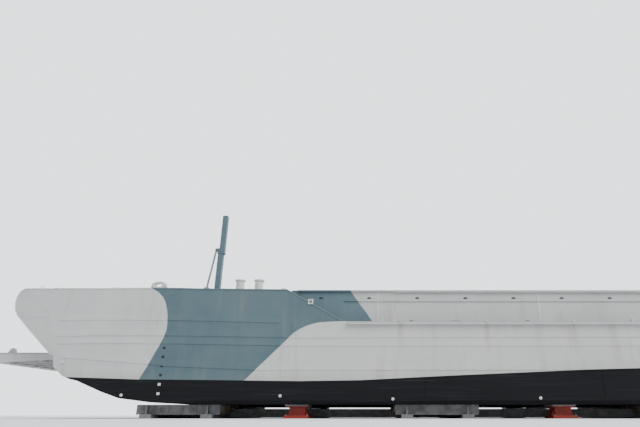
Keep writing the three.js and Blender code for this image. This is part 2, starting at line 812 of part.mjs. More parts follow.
function funnel() {
  const z0 = ROOF_Z;
  const height = FUNNEL.z1 - z0;
  const profile = [
    [0, 0],
    [1.12, 0],
    [1.12, 0.12],
    [1, 0.12],
    [1, height - 0.1],
    [1.05, height - 0.1],
    [1.05, height],
    [0.9, height],
    [0.9, height - 0.8],
    [0, height - 0.8],
  ];
  const g = new THREE.LatheGeometry(
    profile.map(([r, h]) => new THREE.Vector2(m(r), m(h))),
    24,
  );
  g.rotateX(Math.PI / 2);
  g.scale(FUNNEL.long, FUNNEL.wide, 1);
  g.translate(X(FUNNEL.u), 0, Z(z0));
  const { u, y, r, over, bands } = ESCAPE;
  const band = (h) => block(u - 0.06, u + 0.25, y - 0.03, y + 0.03, z0 + h, z0 + h + 0.05);
  const pipe = bar(at(u, y, z0), at(u, y, FUNNEL.z1 + over), r, r, 10);
  piece("funnel", join([solid(g), pipe, ...bands.map(band)]), "blue");
}

// Where the mast's main stays come down on the deckhouse roof: u, y
const STAYS = [
  [HOUSE.u0 + 3.04, 3.05],
  [HOUSE.u1 - 0.07, 1.35],
];

function mast() {
  const z0 = ROOF_Z;
  const { u, z1, r, yard, yardZ, lampZ } = MAST;
  const pad = 0.06;
  const stays = SIDES.flatMap(([, s]) =>
    STAYS.flatMap(([foot, y]) => [
      bar(at(foot, s * y, z0 + 0.03), at(u, s * 0.03, z1 - 0.3), 0.02, 0.02, 6),
      block(foot - pad, foot + pad, s * y - pad, s * y + pad, z0, z0 + 0.06),
    ]),
  );
  const struts = SIDES.flatMap(([, s]) => [
    bar(at(u, s * 0.9, z0 + 0.03), at(u, s * 0.03, z0 + 3.6), 0.05, 0.05, 8),
    block(u - 0.12, u + 0.12, s * 0.9 - 0.12, s * 0.9 + 0.12, z0, z0 + 0.05),
  ]);
  const lamp = [
    [0, 0],
    [0.1, 0],
    [0.1, 0.2],
    [0, 0.2],
  ];
  const parts = [
    bar(at(u, 0, z0), at(u, 0, z1), r, 0.05, 14),
    bar(at(u, -yard, yardZ), at(u, yard, yardZ), 0.045, 0.045, 8),
    block(u - 0.25, u + 0.25, -0.25, 0.25, z0, z0 + 0.05),
    block(u - 0.32, u, -0.09, 0.09, lampZ - 0.03, lampZ + 0.01),
    turned(lamp, at(u - 0.22, 0, lampZ), 10),
    turned(lamp, at(u, 0, z1 - 0.02), 10),
  ];
  piece("mast", join([...parts, ...struts, ...stays]), "white");
}

// An oval float on edge at each side of the wheelhouse, on its chock
function rafts() {
  const sides = 10;
  const profile = [];
  for (let i = 0; i <= sides; i++) {
    const turn = (2 * Math.PI * i) / sides;
    profile.push([0.5 + 0.16 * Math.cos(turn), 0.16 * Math.sin(turn)]);
  }
  const u = HOUSE.u0 + 1.6;
  for (const [name, s] of SIDES) {
    const g = new THREE.LatheGeometry(
      profile.map(([r, h]) => new THREE.Vector2(m(r), m(h))),
      ROUND,
    );
    g.scale(1.5, 1, 1);
    g.translate(X(u), m(s * (HOUSE.half - 0.32)), Z(ROOF_Z + 0.9));
    const chock = blockSide(s, u - 0.5, u + 0.5, HOUSE.half - 0.45, HOUSE.half - 0.2, ROOF_Z, ROOF_Z + 0.32);
    piece(name + "_life_raft", join([solid(g), chock]), "cork");
  }
}

// Engine-room skylight: a low casing with a pitched top
function skylight() {
  const { u0, u1, half, side, ridge } = SKYLIGHT;
  const z0 = DECK_Z + GAP;
  const outline = [
    [-half, z0],
    [half, z0],
    [half, z0 + side],
    [0.12, z0 + ridge],
    [-0.12, z0 + ridge],
    [-half, z0 + side],
  ];
  piece("engine_skylight", fromAhead(outline, u0, u1), "white");
}

// Two cowl ventilators with their mouths forward
function vents() {
  const z0 = DECK_Z + GAP;
  const u = fromTransom(7.3);
  for (const [name, s] of SIDES) {
    const along = (share) => at(u - 0.35 * share, s * 1.9, z0 + 1 + 0.2 * share);
    const ball = new THREE.SphereGeometry(m(0.21), 14, 10);
    ball.translate(along(0).x, along(0).y, along(0).z);
    const pipe = bar(at(u, s * 1.9, z0), along(0), 0.17, 0.17, 14);
    const cowl = join([pipe, bar(along(0), along(1), 0.2, 0.3, 14), solid(ball)]);
    piece(name + "_cowl_vent", cut(cowl, [bar(along(0.35), along(1.1), 0.17, 0.28, 14)]), "white");
  }
}

// After hatch on the quarterdeck, with a hinged lid
function aftHatch() {
  const { u0, u1, half, up, wall } = AFT_HATCH;
  const z0 = DECK_Z + GAP;
  const body = block(u0, u1, -half, half, z0, z0 + up);
  const hole = block(u0 + wall, u1 - wall, -half + wall, half - wall, z0 + 0.03, z0 + up + 0.1);
  piece("aft_hatch_coaming", cut(body, [hole]), "white");
  const z = z0 + up + CLEAR;
  const lid = block(u0 - 0.03, u1 + 0.03, -half - 0.03, half + 0.03, z, z + 0.05);
  const knuckle = bar(at(u0 - 0.07, -half + 0.1, z + 0.025), at(u0 - 0.07, half - 0.1, z + 0.025), 0.03);
  const strap = [-0.3, 0.2].map((y) => block(u0 - 0.07, u0, y, y + 0.1, z + 0.01, z + 0.04));
  piece("aft_hatch_lid", join([lid, knuckle, ...strap]), "white");
}

function kedgeWinch() {
  const z0 = DECK_Z + GAP;
  const { u, z, drum, flange, half } = WINCH;
  const axis = z0 + z;
  const bed = block(u - 0.6, u + 0.6, -half - 0.3, half + 0.9, z0, z0 + 0.08);
  const side = [
    [u - 0.4, z0 + 0.05],
    [u + 0.4, z0 + 0.05],
    [u + 0.16, axis + 0.14],
    [u - 0.16, axis + 0.14],
  ];
  const cheek = (y) => fromSide(side, y, y + 0.08);
  const motor = block(u - 0.35, u + 0.35, half + 0.25, half + 0.85, z0 + 0.05, z0 + 0.7);
  const frame = join([bed, cheek(-half - 0.12), cheek(half + 0.04), motor]);
  const bore = bar(at(u, -half - 0.2, axis), at(u, half + 0.13, axis), 0.06 + 0.008, 0.06 + 0.008, 14);
  piece("winch_frame", cut(frame, [bore]), "grey");
  const h = half - 0.01;
  const lower = [
    [0, -h - 0.1],
    [0.06, -h - 0.1],
    [0.06, -h],
    [flange, -h],
    [flange, -h + 0.05],
    [drum, -h + 0.05],
  ];
  const profile = [...lower, ...lower.map(([r, y]) => [r, -y]).reverse()];
  const g = new THREE.LatheGeometry(
    profile.map(([r, y]) => new THREE.Vector2(m(r), m(y))),
    20,
  );
  g.translate(X(u), 0, Z(axis));
  piece("winch_drum", solid(g), "steel");
}

function sternAnchor() {
  const z0 = DECK_Z + GAP;
  const u = fromTransom(1.9);
  const cheek = [
    [u, z0],
    [u + 1.3, z0],
    [u + 1.3, z0 + 1.1],
    [u + 1.15, z0 + 1.1],
    [u + 0.4, z0 + 0.25],
    [u, z0 + 0.25],
  ];
  const frame = join([
    ...[-0.75, 0.75].map((y) => fromSide(cheek, y - 0.05, y + 0.05)),
    bar(at(u + 1.22, -0.8, z0 + 1.0), at(u + 1.22, 0.8, z0 + 1.0), 0.08),
    block(u, u + 1.3, -0.75, 0.75, z0, z0 + 0.03),
  ]);
  piece("stern_anchor_frame", frame, "grey");
  const shank = bar(at(u + 0.3, 0, z0 + 0.2), at(u + 1.05, 0, z0 + 0.75), 0.06, 0.05, 10);
  const stock = bar(at(u + 0.4, -0.55, z0 + 0.26), at(u + 0.4, 0.55, z0 + 0.26), 0.04, 0.04, 8);
  const crown = bar(at(u + 0.26, -0.25, z0 + 0.19), at(u + 0.26, 0.25, z0 + 0.19), 0.06, 0.06, 8);
  const fluke = [
    [u + 0.2, z0 + 0.1],
    [u + 0.7, z0 + 0.35],
    [u + 0.6, z0 + 0.5],
    [u + 0.15, z0 + 0.25],
  ];
  const flukes = [-0.22, 0.22].map((y) => fromSide(fluke, y - 0.05, y + 0.05));
  piece("stern_anchor", join([shank, stock, crown, ...flukes]), "steel");
}

// The rail's posts: metres forward of the transom, and out from the middle
const RAIL = [
  [6.5, 4.35],
  [4.7, 4.35],
  [2.9, 4.24],
  [1.2, 3.98],
  [0.5, 3.62],
  [0.25, 3.05],
  [0.25, 1.4],
];

function sternRail() {
  const z0 = DECK_Z + GAP;
  const side = RAIL.map(([s, y]) => [fromTransom(s), y]);
  const line = [...side, ...side.map(([u, y]) => [u, -y]).reverse()];
  const rails = [0.55, 1.05].map((h) => bent(line.map(([u, y]) => at(u, y, z0 + h)), 0.022, 6));
  const posts = line.map(([u, y]) => bar(at(u, y, z0), at(u, y, z0 + 1.06), 0.026, 0.026, 6));
  piece("stern_rail", join([...rails, ...posts]), "white");
}

// A ladder up a wall: two side rails, rungs, and feet that weld it to the wall at wallU
function ladder(u, y, z0, z1, wallU) {
  const half = 0.22;
  const rails = [-half, half].map((d) => bar(at(u, y + d, z0), at(u, y + d, z1), 0.025, 0.025, 6));
  const rungs = [];
  for (let z = z0 + 0.25; z < z1 - 0.1; z += 0.3) {
    rungs.push(bar(at(u, y - half, z), at(u, y + half, z), 0.016, 0.016, 6));
  }
  const feet = [z0 + 0.3, z0 + 1.1].flatMap((z) =>
    [-half, half].map((d) => bar(at(u, y + d, z), at(wallU, y + d, z), 0.018, 0.018, 6)),
  );
  return join([...rails, ...rungs, ...feet]);
}

// Steel doors close from outside over their holes, with straps to two knuckles on the hinge side
const LEAF = 0.05;
const KNUCKLES = [0.3, 1.3]; // heights on the leaf

function doors() {
  const { u1 } = WHEEL;
  const z0 = DECK_Z + GAP + 0.2;
  const u = HOUSE_DOOR_U - 0.05;
  for (const [name, s] of SIDES) {
    const y = HOUSE.half + CLEAR;
    const axis = (z) => at(u - 0.07, s * (y + LEAF / 2), z);
    const plate = blockSide(s, u, u + DOOR.width + 0.1, y, y + LEAF, z0, z0 + 1.8);
    const knuckles = KNUCKLES.map((h) => bar(axis(z0 + h), axis(z0 + h + 0.14), 0.03, 0.03, 10));
    const strap = (h) =>
      blockSide(s, u - 0.07, u + 0.65, y + 0.013, y + LEAF + 0.015, z0 + h + 0.04, z0 + h + 0.1);
    piece(name + "_deckhouse_door", join([plate, ...knuckles, ...KNUCKLES.map(strap)]), "white");
  }
  const z = ROOF_Z + 0.1;
  const back = u1 + CLEAR;
  const axis = (h) => at(back + LEAF / 2, 0.47, h);
  const plate = block(back, back + LEAF, -0.4, 0.4, z, z + 1.75);
  const knuckles = KNUCKLES.map((h) => bar(axis(z + h), axis(z + h + 0.14), 0.03, 0.03, 10));
  const strap = (h) => block(back + 0.013, back + LEAF + 0.015, -0.25, 0.47, z + h + 0.04, z + h + 0.1);
  piece("wheelhouse_door", join([plate, ...knuckles, ...KNUCKLES.map(strap)]), "white");
}

// Under water

function sternTube(name, y) {
  const { z, u0, u1 } = SHAFT;
  const tube = bar(at(u0, y, z), at(u1, y, z), 0.09, 0.09, 14);
  const barrel = bar(at(u1 - 0.4, y, z), at(u1, y, z), 0.14, 0.14, 14);
  const legs = [-0.32, 0.32].map((d) => bar(at(u1 - 0.2, y, z), at(u1 - 0.2, y + d, 1.45), 0.05, 0.05, 8));
  const shell = STERN_RISE.slice(1).map(([u, h]) => [u, h - 0.0015]);
  const below = fromSide([[STERN_RISE[1][0], -0.2], [TRANSOM, -0.2], ...shell.reverse()], y - 1, y + 1);
  piece(name + "_stern_tube", join([tube, barrel, ...legs]).intersect(below), "black");
}

// The blades lean one way to port and the other way to starboard
function propeller(name, y, side) {
  const { u, r, hub, blades } = PROP;
  const z = SHAFT.z;
  const boss = bar(at(u - 0.2, y, z), at(u + 0.2, y, z), hub, hub * 0.8, 14);
  const cap = bar(at(u + 0.19, y, z), at(u + 0.36, y, z), hub * 0.8, 0.02, 14);
  const shape = new THREE.Shape();
  shape.moveTo(m(-0.07), m(0.08));
  shape.quadraticCurveTo(m(-0.34), m(0.34), m(-0.1), m(r * 0.97));
  shape.quadraticCurveTo(m(0.06), m(r * 1.03), m(0.17), m(r * 0.88));
  shape.quadraticCurveTo(m(0.3), m(0.36), m(0.07), m(0.08));
  const made = [];
  for (let i = 0; i < blades; i++) {
    const g = new THREE.ExtrudeGeometry(shape, { depth: m(0.03), bevelEnabled: false, curveSegments: 5 });
    g.translate(0, 0, m(-0.015));
    g.rotateY(Math.PI / 2 - side * 0.62);
    g.rotateX(-Math.PI / 2);
    g.rotateX((2 * Math.PI * i) / blades);
    g.translate(X(u), m(y), Z(z));
    made.push(solid(g));
  }
  piece(name + "_propeller", join([boss, cap, ...made]), "bronze");
}

function rudder(name, y) {
  const { u, z0, z1, fore, aft, stock } = RUDDER;
  const half = [
    [u - fore, 0.02],
    [u - fore + 0.12, 0.06],
    [u + 0.2, 0.06],
    [u + aft, 0.015],
  ];
  const ring = [...half.map(([at, d]) => [at, y - d]), ...half.map(([at, d]) => [at, y + d]).reverse()];
  const post = bar(at(u, y, z0 + 0.2), at(u, y, 1.9), stock, stock, 14);
  piece(name + "_rudder", join([fromAbove(ring, z0, z1), post]), "black");
}

function runningGear() {
  for (const [name, s] of SIDES) {
    sternTube(name, s * SHAFT.y);
    propeller(name, s * SHAFT.y, s);
    rudder(name, s * SHAFT.y);
  }
}

// Cradle under the hull

function cradle() {
  const z1 = -GAP;
  const z0 = -CRADLE_HEIGHT;
  const slab = { length: 2.9, half: 3.9 };
  const starts = [3.0, 12.0, 21.0, 30.0, 38.6];
  const foot = (u) => block(u, u + 0.4, -slab.half - 0.2, slab.half + 0.2, z0, z0 + 0.14);
  const slabs = starts.map((u) =>
    join([block(u, u + slab.length, -slab.half, slab.half, z0 + 0.12, z1), foot(u + 0.2), foot(u + 2.3)]),
  );
  const runners = [-2.2, 2.2].map((y) => block(3.2, 41.2, y - 0.15, y + 0.15, z0 + 0.03, z0 + 0.33));
  piece("cradle_grillage", join([...slabs, ...runners]), "grey");
  [8.6, 17.8, 27.1, 35.8].forEach((u, i) => {
    const posts = SIDES.flatMap(([, s]) => [
      blockSide(s, u - 0.42, u + 0.42, 3.1, 4.2, z0, z0 + 0.1),
      blockSide(s, u - 0.28, u + 0.28, 3.3, 4.0, z0 + 0.05, z1 - 0.06),
      blockSide(s, u - 0.38, u + 0.38, 3.15, 4.15, z1 - 0.08, z1),
    ]);
    const tie = block(u - 0.1, u + 0.1, -3.4, 3.4, z0 + 0.34, z0 + 0.4);
    piece("cradle_stool_" + (i + 1), join([...posts, tie]), "red");
  });
}

hullBottom();
sternHull();
tankDeck();
sideTanks();
bowWings();
bowHatchLids();
coamings();
strakes();
bowSill();
bowRamp();
fairleads();
for (const [name, s] of SIDES) {
  bollardPair(name + "_bow_bollards", 6.26, 6.96, s * 4.1, bowDeckZ(6.26) + 0.012, "white");
  bollardPair(name + "_stern_bollards", fromTransom(5.1), fromTransom(4.4), s * 3.9, DECK_Z + GAP, "white");
}
bowPost();
houseWalls();
houseRoof();
wheelhouse();
wheelhouseRoof();
bridgeScreen();
bridgePlatform();
tubs();
funnel();
mast();
rafts();
skylight();
vents();
aftHatch();
kedgeWinch();
sternAnchor();
sternRail();
doors();
runningGear();
cradle();

export default root;
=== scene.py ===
"""Finish of a military landing craft, a 1:2 scale model on its cradle.

Sizes are written in metres of the full-size craft. u runs aft from the bow ramp's hinge, y to port and z up
from the flat bottom, and place() turns them into metres of the model. In loops over the two sides s is 1 to
port and -1 to starboard.
"""

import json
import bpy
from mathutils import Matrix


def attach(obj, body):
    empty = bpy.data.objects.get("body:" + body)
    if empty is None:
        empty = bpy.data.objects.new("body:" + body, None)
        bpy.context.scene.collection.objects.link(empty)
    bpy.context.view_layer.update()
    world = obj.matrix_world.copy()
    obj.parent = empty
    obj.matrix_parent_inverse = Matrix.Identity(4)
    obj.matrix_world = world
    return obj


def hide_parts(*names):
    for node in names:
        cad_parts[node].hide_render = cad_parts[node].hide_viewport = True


bl_info = {
    "name": "Landing craft finish",
    "version": (1, 0, 0),
    "blender": (4, 5, 0),
    "location": "View3D > Sidebar > Landing craft",
    "description": "Plating, paint and deck gear of a landing craft",
    "category": "Object",
}

from math import atan2, copysign, cos, pi, radians, sin, sqrt

import bmesh
import bpy
from mathutils import Vector

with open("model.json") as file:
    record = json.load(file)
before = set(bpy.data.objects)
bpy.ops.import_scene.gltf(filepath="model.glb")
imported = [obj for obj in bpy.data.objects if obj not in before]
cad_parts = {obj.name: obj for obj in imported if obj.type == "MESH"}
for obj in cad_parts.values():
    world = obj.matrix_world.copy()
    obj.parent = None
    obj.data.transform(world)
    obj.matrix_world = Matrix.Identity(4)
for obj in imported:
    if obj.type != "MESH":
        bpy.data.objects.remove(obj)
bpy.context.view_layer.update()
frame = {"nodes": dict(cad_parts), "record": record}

# The frame's own scale and places
SCALE = 0.5
LIFT = 0.45
TRANSOM = 55.42
MIDDLE = (-0.55 - 3.2 + TRANSOM) / 2
HALF_BEAM = 4.57
DECK_Z = 2.78
TANK_DECK_Z = 1.35
HOLD_FACE = 3.439
SILL_TOP = 1.9
RAMP_TOP = 1.93
COAMING_TOP = 4.12
ROOF_Z = 5.18
WHEEL_ROOF_Z = 7.33
SEAT = 0.0008  # gap under what stands on a deck
SIDES = (("port", 1), ("starboard", -1))
INWARD = {1: "starboard", -1: "port"}  # which way a piece faces from each side into the hold


def fwd(s):
    """A place given in metres forward of the transom"""
    return TRANSOM - s


HOLD_END = fwd(15)

# Half of the hull's outline from above: u, y
PLAN = (
    (-2.72, 2.98), (-2.0, 3.28), (-1.5, 3.45), (-0.5, 3.74), (1.0, 4.12), (2.5, 4.36), (4.2, 4.52),
    (6, HALF_BEAM), (fwd(5.5), HALF_BEAM), (fwd(2.9), 4.46), (fwd(1.1), 4.2), (fwd(0.3), 3.8), (TRANSOM, 3.2),
)
# Heights of the bow deck and of the bottom at the stern: u, z
BOW_DECK = ((-2.2, 4.25), (-1.13, 4.17), (1.1, 4.05), (4.9, 3.95), (8.1, 3.91), (10.1, DECK_Z))
STERN_RISE = ((0, 0), (fwd(11), 0), (fwd(9), 0.22), (fwd(6.5), 1.02), (fwd(4.9), 1.45), (TRANSOM, 1.75))


def place(u, y, z):
    """A place on the full-size craft as a point of the model"""
    return Vector(((MIDDLE - u) * SCALE, y * SCALE, (z + LIFT) * SCALE))


def along(points, at):
    """A line of points read at one place"""
    for (a, va), (b, vb) in zip(points, points[1:]):
        if at <= b:
            share = max(0.0, (at - a) / (b - a))
            return va + (vb - va) * share
    return points[-1][1]


def bow_deck(u):
    """The bow deck's height"""
    return along(BOW_DECK, u)


def on_side(u, z, side, out=0.0):
    """A place on the hull's side, as u, y, z"""
    return Vector((u, side * (along(PLAN, u) + out), z))


def corners(a, b):
    """An oblong's corners in order, from its half sizes"""
    return ((-a, -b), (a, -b), (a, b), (-a, b))


def turns_of(count):
    """Equal turns that add up to a full circle"""
    return [2 * pi * k / count for k in range(count)]


def steps(first, last, pitch):
    """Places from first to last, one pitch apart"""
    return [first + i * pitch for i in range(int((last - first) / pitch + 1e-6) + 1)]


def polar(u, y, r, count, start=0.0):
    """Places round a point seen from above, each with its angle"""
    for i in range(count):
        turn = start + 2 * pi * i / count
        yield u - r * cos(turn), y + r * sin(turn), turn


# Colours and camera settings that a user would change


def paint_color(name, description, default):
    """A colour that the panel shows"""
    return bpy.props.FloatVectorProperty(
        name=name, description=description, subtype="COLOR", size=3, default=default)


class CraftPaint(bpy.types.PropertyGroup):
    """Colours of the paints"""

    white: paint_color("White", "Topside white", (0.48, 0.478, 0.47))
    blue: paint_color("Blue-grey", "Camouflage blue-grey", (0.066, 0.109, 0.126))
    black: paint_color("Black", "Bottom paint", (0.0075, 0.008, 0.0095))
    deck: paint_color("Deck", "Deck paint", (0.12, 0.135, 0.145))


class CraftView(bpy.types.PropertyGroup):
    """The photograph's camera"""

    lens: bpy.props.FloatProperty(
        name="Lens", description="Focal length in millimetres", default=30.375, unit="CAMERA")
    pitch: bpy.props.FloatProperty(
        name="Pitch", description="Tilt above level", default=radians(20.5), subtype="ANGLE")
    shift: bpy.props.FloatProperty(
        name="Shift", description="Sideways shift of the picture", default=-0.094)
    place: bpy.props.FloatVectorProperty(
        name="Place", description="The camera's place in metres", subtype="TRANSLATION", size=3,
        default=(7.1825, 11.935, 0.05))


# Materials

MATERIALS = {}


class Mix:
    """Builds a material's nodes: each call adds one and returns its output"""

    def __init__(self, name):
        self.material = bpy.data.materials.new(name)
        self.material.use_nodes = True
        self.tree = self.material.node_tree
        self.shader = self.tree.nodes["Principled BSDF"]
        self.coords = self.tree.nodes.new("ShaderNodeTexCoord")
        self.here = self.coords.outputs["Object"]
        self.facing = self.coords.outputs["Normal"]

    def node(self, kind, **settings):
        made = self.tree.nodes.new("ShaderNode" + kind)
        for key, value in settings.items():
            setattr(made, key, value)
        return made

    def plug(self, socket, value):
        if isinstance(value, bpy.types.NodeSocket):
            self.tree.links.new(value, socket)
        elif isinstance(value, (tuple, list)) and len(value) == 3 and socket.type == "RGBA":
            socket.default_value = (*value, 1)
        else:
            socket.default_value = value

    def math(self, operation, a, b=0.0, c=0.0):
        made = self.node("Math", operation=operation)
        for socket, value in zip(made.inputs, (a, b, c)):
            self.plug(socket, value)
        return made.outputs[0]

    def times(self, a, b):
        return self.math("MULTIPLY", a, b)

    def minus(self, a, b):
        return self.math("SUBTRACT", a, b)

    def scaled(self, vector, scale):
        made = self.node("Mapping")
        self.plug(made.inputs["Vector"], vector)
        made.inputs["Scale"].default_value = scale
        return made.outputs[0]

    def split(self, vector):
        made = self.node("SeparateXYZ")
        self.plug(made.inputs[0], vector)
        return made.outputs

    def noise(self, scale, detail=3.0, rough=0.55, vector=None):
        made = self.node("TexNoise", noise_type="FBM")
        self.plug(made.inputs["Vector"], vector or self.here)
        for key, value in (("Scale", scale), ("Detail", detail), ("Roughness", rough)):
            made.inputs[key].default_value = value
        return made.outputs[0]

    def step(self, value, low, high, to_low=0.0, to_high=1.0, kind="SMOOTHSTEP"):
        """A soft step from one value to another between two places"""
        made = self.node("MapRange", interpolation_type=kind)
        names = ("Value", "From Min", "From Max", "To Min", "To Max")
        for name, given in zip(names, (value, low, high, to_low, to_high)):
            self.plug(made.inputs[name], given)
        return made.outputs[0]

    def slope(self, value, low, high, to_low=0.0, to_high=1.0):
        """The same in a straight line"""
        return self.step(value, low, high, to_low, to_high, "LINEAR")

    def blend(self, share, a, b):
        made = self.node("MixRGB", blend_type="MIX")
        for socket, value in zip(made.inputs, (share, a, b)):
            self.plug(socket, value)
        return made.outputs[0]

    def curve(self, value, points, low, high, reach):
        """A line of (at, value) points as a curve, for values from 0 to a reach"""
        at = self.slope(value, low, high)
        made = self.node("FloatCurve")
        self.plug(made.inputs["Value"], at)
        line = made.mapping.curves[0]
        while len(line.points) < len(points):
            line.points.new(0.5, 0.5)
        for point, (a, v) in zip(line.points, points):
            point.location = ((a - low) / (high - low), v / reach)
            point.handle_type = "VECTOR"
        made.mapping.update()
        return self.slope(made.outputs[0], 0, 1, 0, reach)

    def bump(self, height, strength, distance, under=None):
        made = self.node("Bump")
        made.inputs["Strength"].default_value = strength
        made.inputs["Distance"].default_value = distance
        self.plug(made.inputs["Height"], height)
        if under:
            self.plug(made.inputs["Normal"], under)
        return made.outputs[0]

    def finish(self, color, rough, metal=0.0, normal=None, **sockets):
        self.plug(self.shader.inputs["Base Color"], color)
        self.plug(self.shader.inputs["Roughness"], rough)
        self.shader.inputs["Metallic"].default_value = metal
        if normal:
            self.plug(self.shader.inputs["Normal"], normal)
        for key, value in sockets.items():
            self.shader.inputs[key.replace("_", " ")].default_value = value
        return self.material


# Camouflage: each line gives u for a height z, and the patch lies between two of them
PATCH_FRONT = (
    (0.4, 2.95), (0.81, 3.15), (1.38, 3.42), (2.14, 3.80), (2.40, 3.87), (2.66, 3.885), (2.95, 3.875),
    (3.20, 3.82), (3.45, 3.72), (3.67, 3.585), (3.85, 3.40), (3.99, 3.15), (4.3, 2.8),
)
PATCH_BACK = (
    (0.4, 6.4), (0.78, 6.82), (2.21, 8.25), (2.37, 8.42), (2.46, 8.55), (2.53, 8.68), (2.62, 8.87),
    (2.70, 9.10), (2.745, 9.34), (2.765, 9.63), (2.78, 10.05), (2.9, 11.2), (4.3, 10.2),
)
PATCH_LOW, PATCH_HIGH, PATCH_REACH = 0.4, 4.3, 12
AFT_PATCHES = (  # middle at the deck, slope and half length
    (28.4, 1.6, 2.9), (37.4, -1.2, 1.5), (46.4, 1.1, 2.4), (54.3, -0.9, 1.6),
)
BOOT_LINE = (  # top of the bottom paint as u, z
    (-2, 0.95), (0.28, 0.92), (3.19, 0.81), (8.73, 0.75), (10.79, 0.78), (13.87, 0.93), (18.63, 1.13),
    (30, 1.42), (TRANSOM, 2.1),
)
SCUPPERS = (12.2, fwd(9), 3.05)  # first, last and pitch
FRAME_PITCH = 0.61


def camouflage(mix, u, z):
    """1 in the blue-grey patches and 0 elsewhere"""
    at = mix.math("ADD", u, mix.math("MULTIPLY_ADD", mix.noise(2.2, 2), 0.10, -0.05))
    limits = (PATCH_LOW, PATCH_HIGH, PATCH_REACH)
    front, back = (mix.curve(z, line, *limits) for line in (PATCH_FRONT, PATCH_BACK))
    after_front = mix.step(mix.minus(at, front), -0.02, 0.02)
    before_back = mix.step(mix.minus(at, back), 0.02, -0.02)
    patch = mix.times(after_front, before_back)
    bent = mix.math("ADD", at, mix.times(mix.math("SINE", mix.times(z, 1.3)), 0.5))
    for middle, lean, half in AFT_PATCHES:
        leaning = mix.math("MULTIPLY_ADD", mix.minus(z, DECK_Z), lean, middle)
        off = mix.math("ABSOLUTE", mix.minus(bent, leaning))
        patch = mix.math("MAXIMUM", patch, mix.step(off, half + 0.02, half - 0.02))
    return patch


def hold_walls(mix, u, y, z):
    """1 on the hold's own walls, which stay white"""
    reach = mix.step(z, DECK_Z - 0.01, DECK_Z + 0.01, HOLD_FACE + 0.07, HOLD_FACE + 0.01)
    reach = mix.math("MAXIMUM", reach, mix.step(u, 8.36, 8.34, 0, HOLD_FACE + 0.07))
    inside = mix.step(mix.minus(y, reach), 0.004, -0.004)
    inside = mix.times(inside, mix.step(u, HOLD_END + 0.02, HOLD_END + 0.01))
    return mix.times(inside, mix.step(z, TANK_DECK_Z - 0.05, TANK_DECK_Z - 0.03))


def patch_blue_painted_lighter(mix, blue, u, y, z):
    """The patches' blue-grey, with painted light on the coamings: there the blue is made lighter, standing in
    for light that the coamings get too little of
    """
    lit_coaming_mask = mix.times(mix.step(y, 3.75, 3.7), mix.step(z, DECK_Z, DECK_Z + 0.02))
    lit_coaming_mask = mix.times(lit_coaming_mask, mix.step(u, HOLD_END, HOLD_END - 0.05))
    # painted light: the blue on the coamings is made 1.35 times lighter
    return mix.blend(lit_coaming_mask, tuple(blue), tuple(1.35 * c for c in blue))


def scupper_rust(mix, u, z, runs):
    """How much rust runs down below each scupper"""
    first, last, pitch = SCUPPERS
    bays = mix.math("FRACT", mix.math("MULTIPLY_ADD", u, 1 / pitch, 0.5 - first / pitch))
    aside = mix.times(mix.math("ABSOLUTE", mix.minus(bays, 0.5)), pitch)
    aside = mix.math("ADD", aside, mix.math("MULTIPLY_ADD", mix.noise(5, 2), 0.12, -0.06))
    below = mix.times(mix.step(z, DECK_Z - 1.5, DECK_Z - 0.1), mix.step(z, DECK_Z, DECK_Z - 0.04))
    along_hold = mix.times(mix.step(u, first - 1, first - 0.9), mix.step(u, last + 1, last))
    rust = mix.times(mix.times(mix.step(aside, 0.16, 0.0), below), along_hold)
    return mix.times(rust, mix.step(runs, 0.3, 0.6, 0.08, 0.3))


def bottom_tone(mix, black):
    """Black bottom paint, streaked and with specks of rust"""
    streak = mix.noise(3.0, 4, 0.65, mix.scaled(mix.here, (0.25, 1, 9)))
    tone = mix.blend(mix.times(mix.step(streak, 0.5, 0.75), 0.5), tuple(black), (0.028, 0.03, 0.034))
    return mix.blend(mix.step(mix.noise(14, 5, 0.7), 0.66, 0.72, 0, 0.5), tone, (0.09, 0.045, 0.028))


def deck_tone(mix, deck):
    """Deck paint with paler wear and some rust"""
    tone = mix.blend(mix.step(mix.noise(3.5, 6, 0.65), 0.3, 0.75), tuple(deck), (0.175, 0.187, 0.187))
    return mix.blend(mix.times(mix.step(mix.noise(9, 6, 0.7), 0.62, 0.72), 0.5), tone, (0.19, 0.10, 0.05))


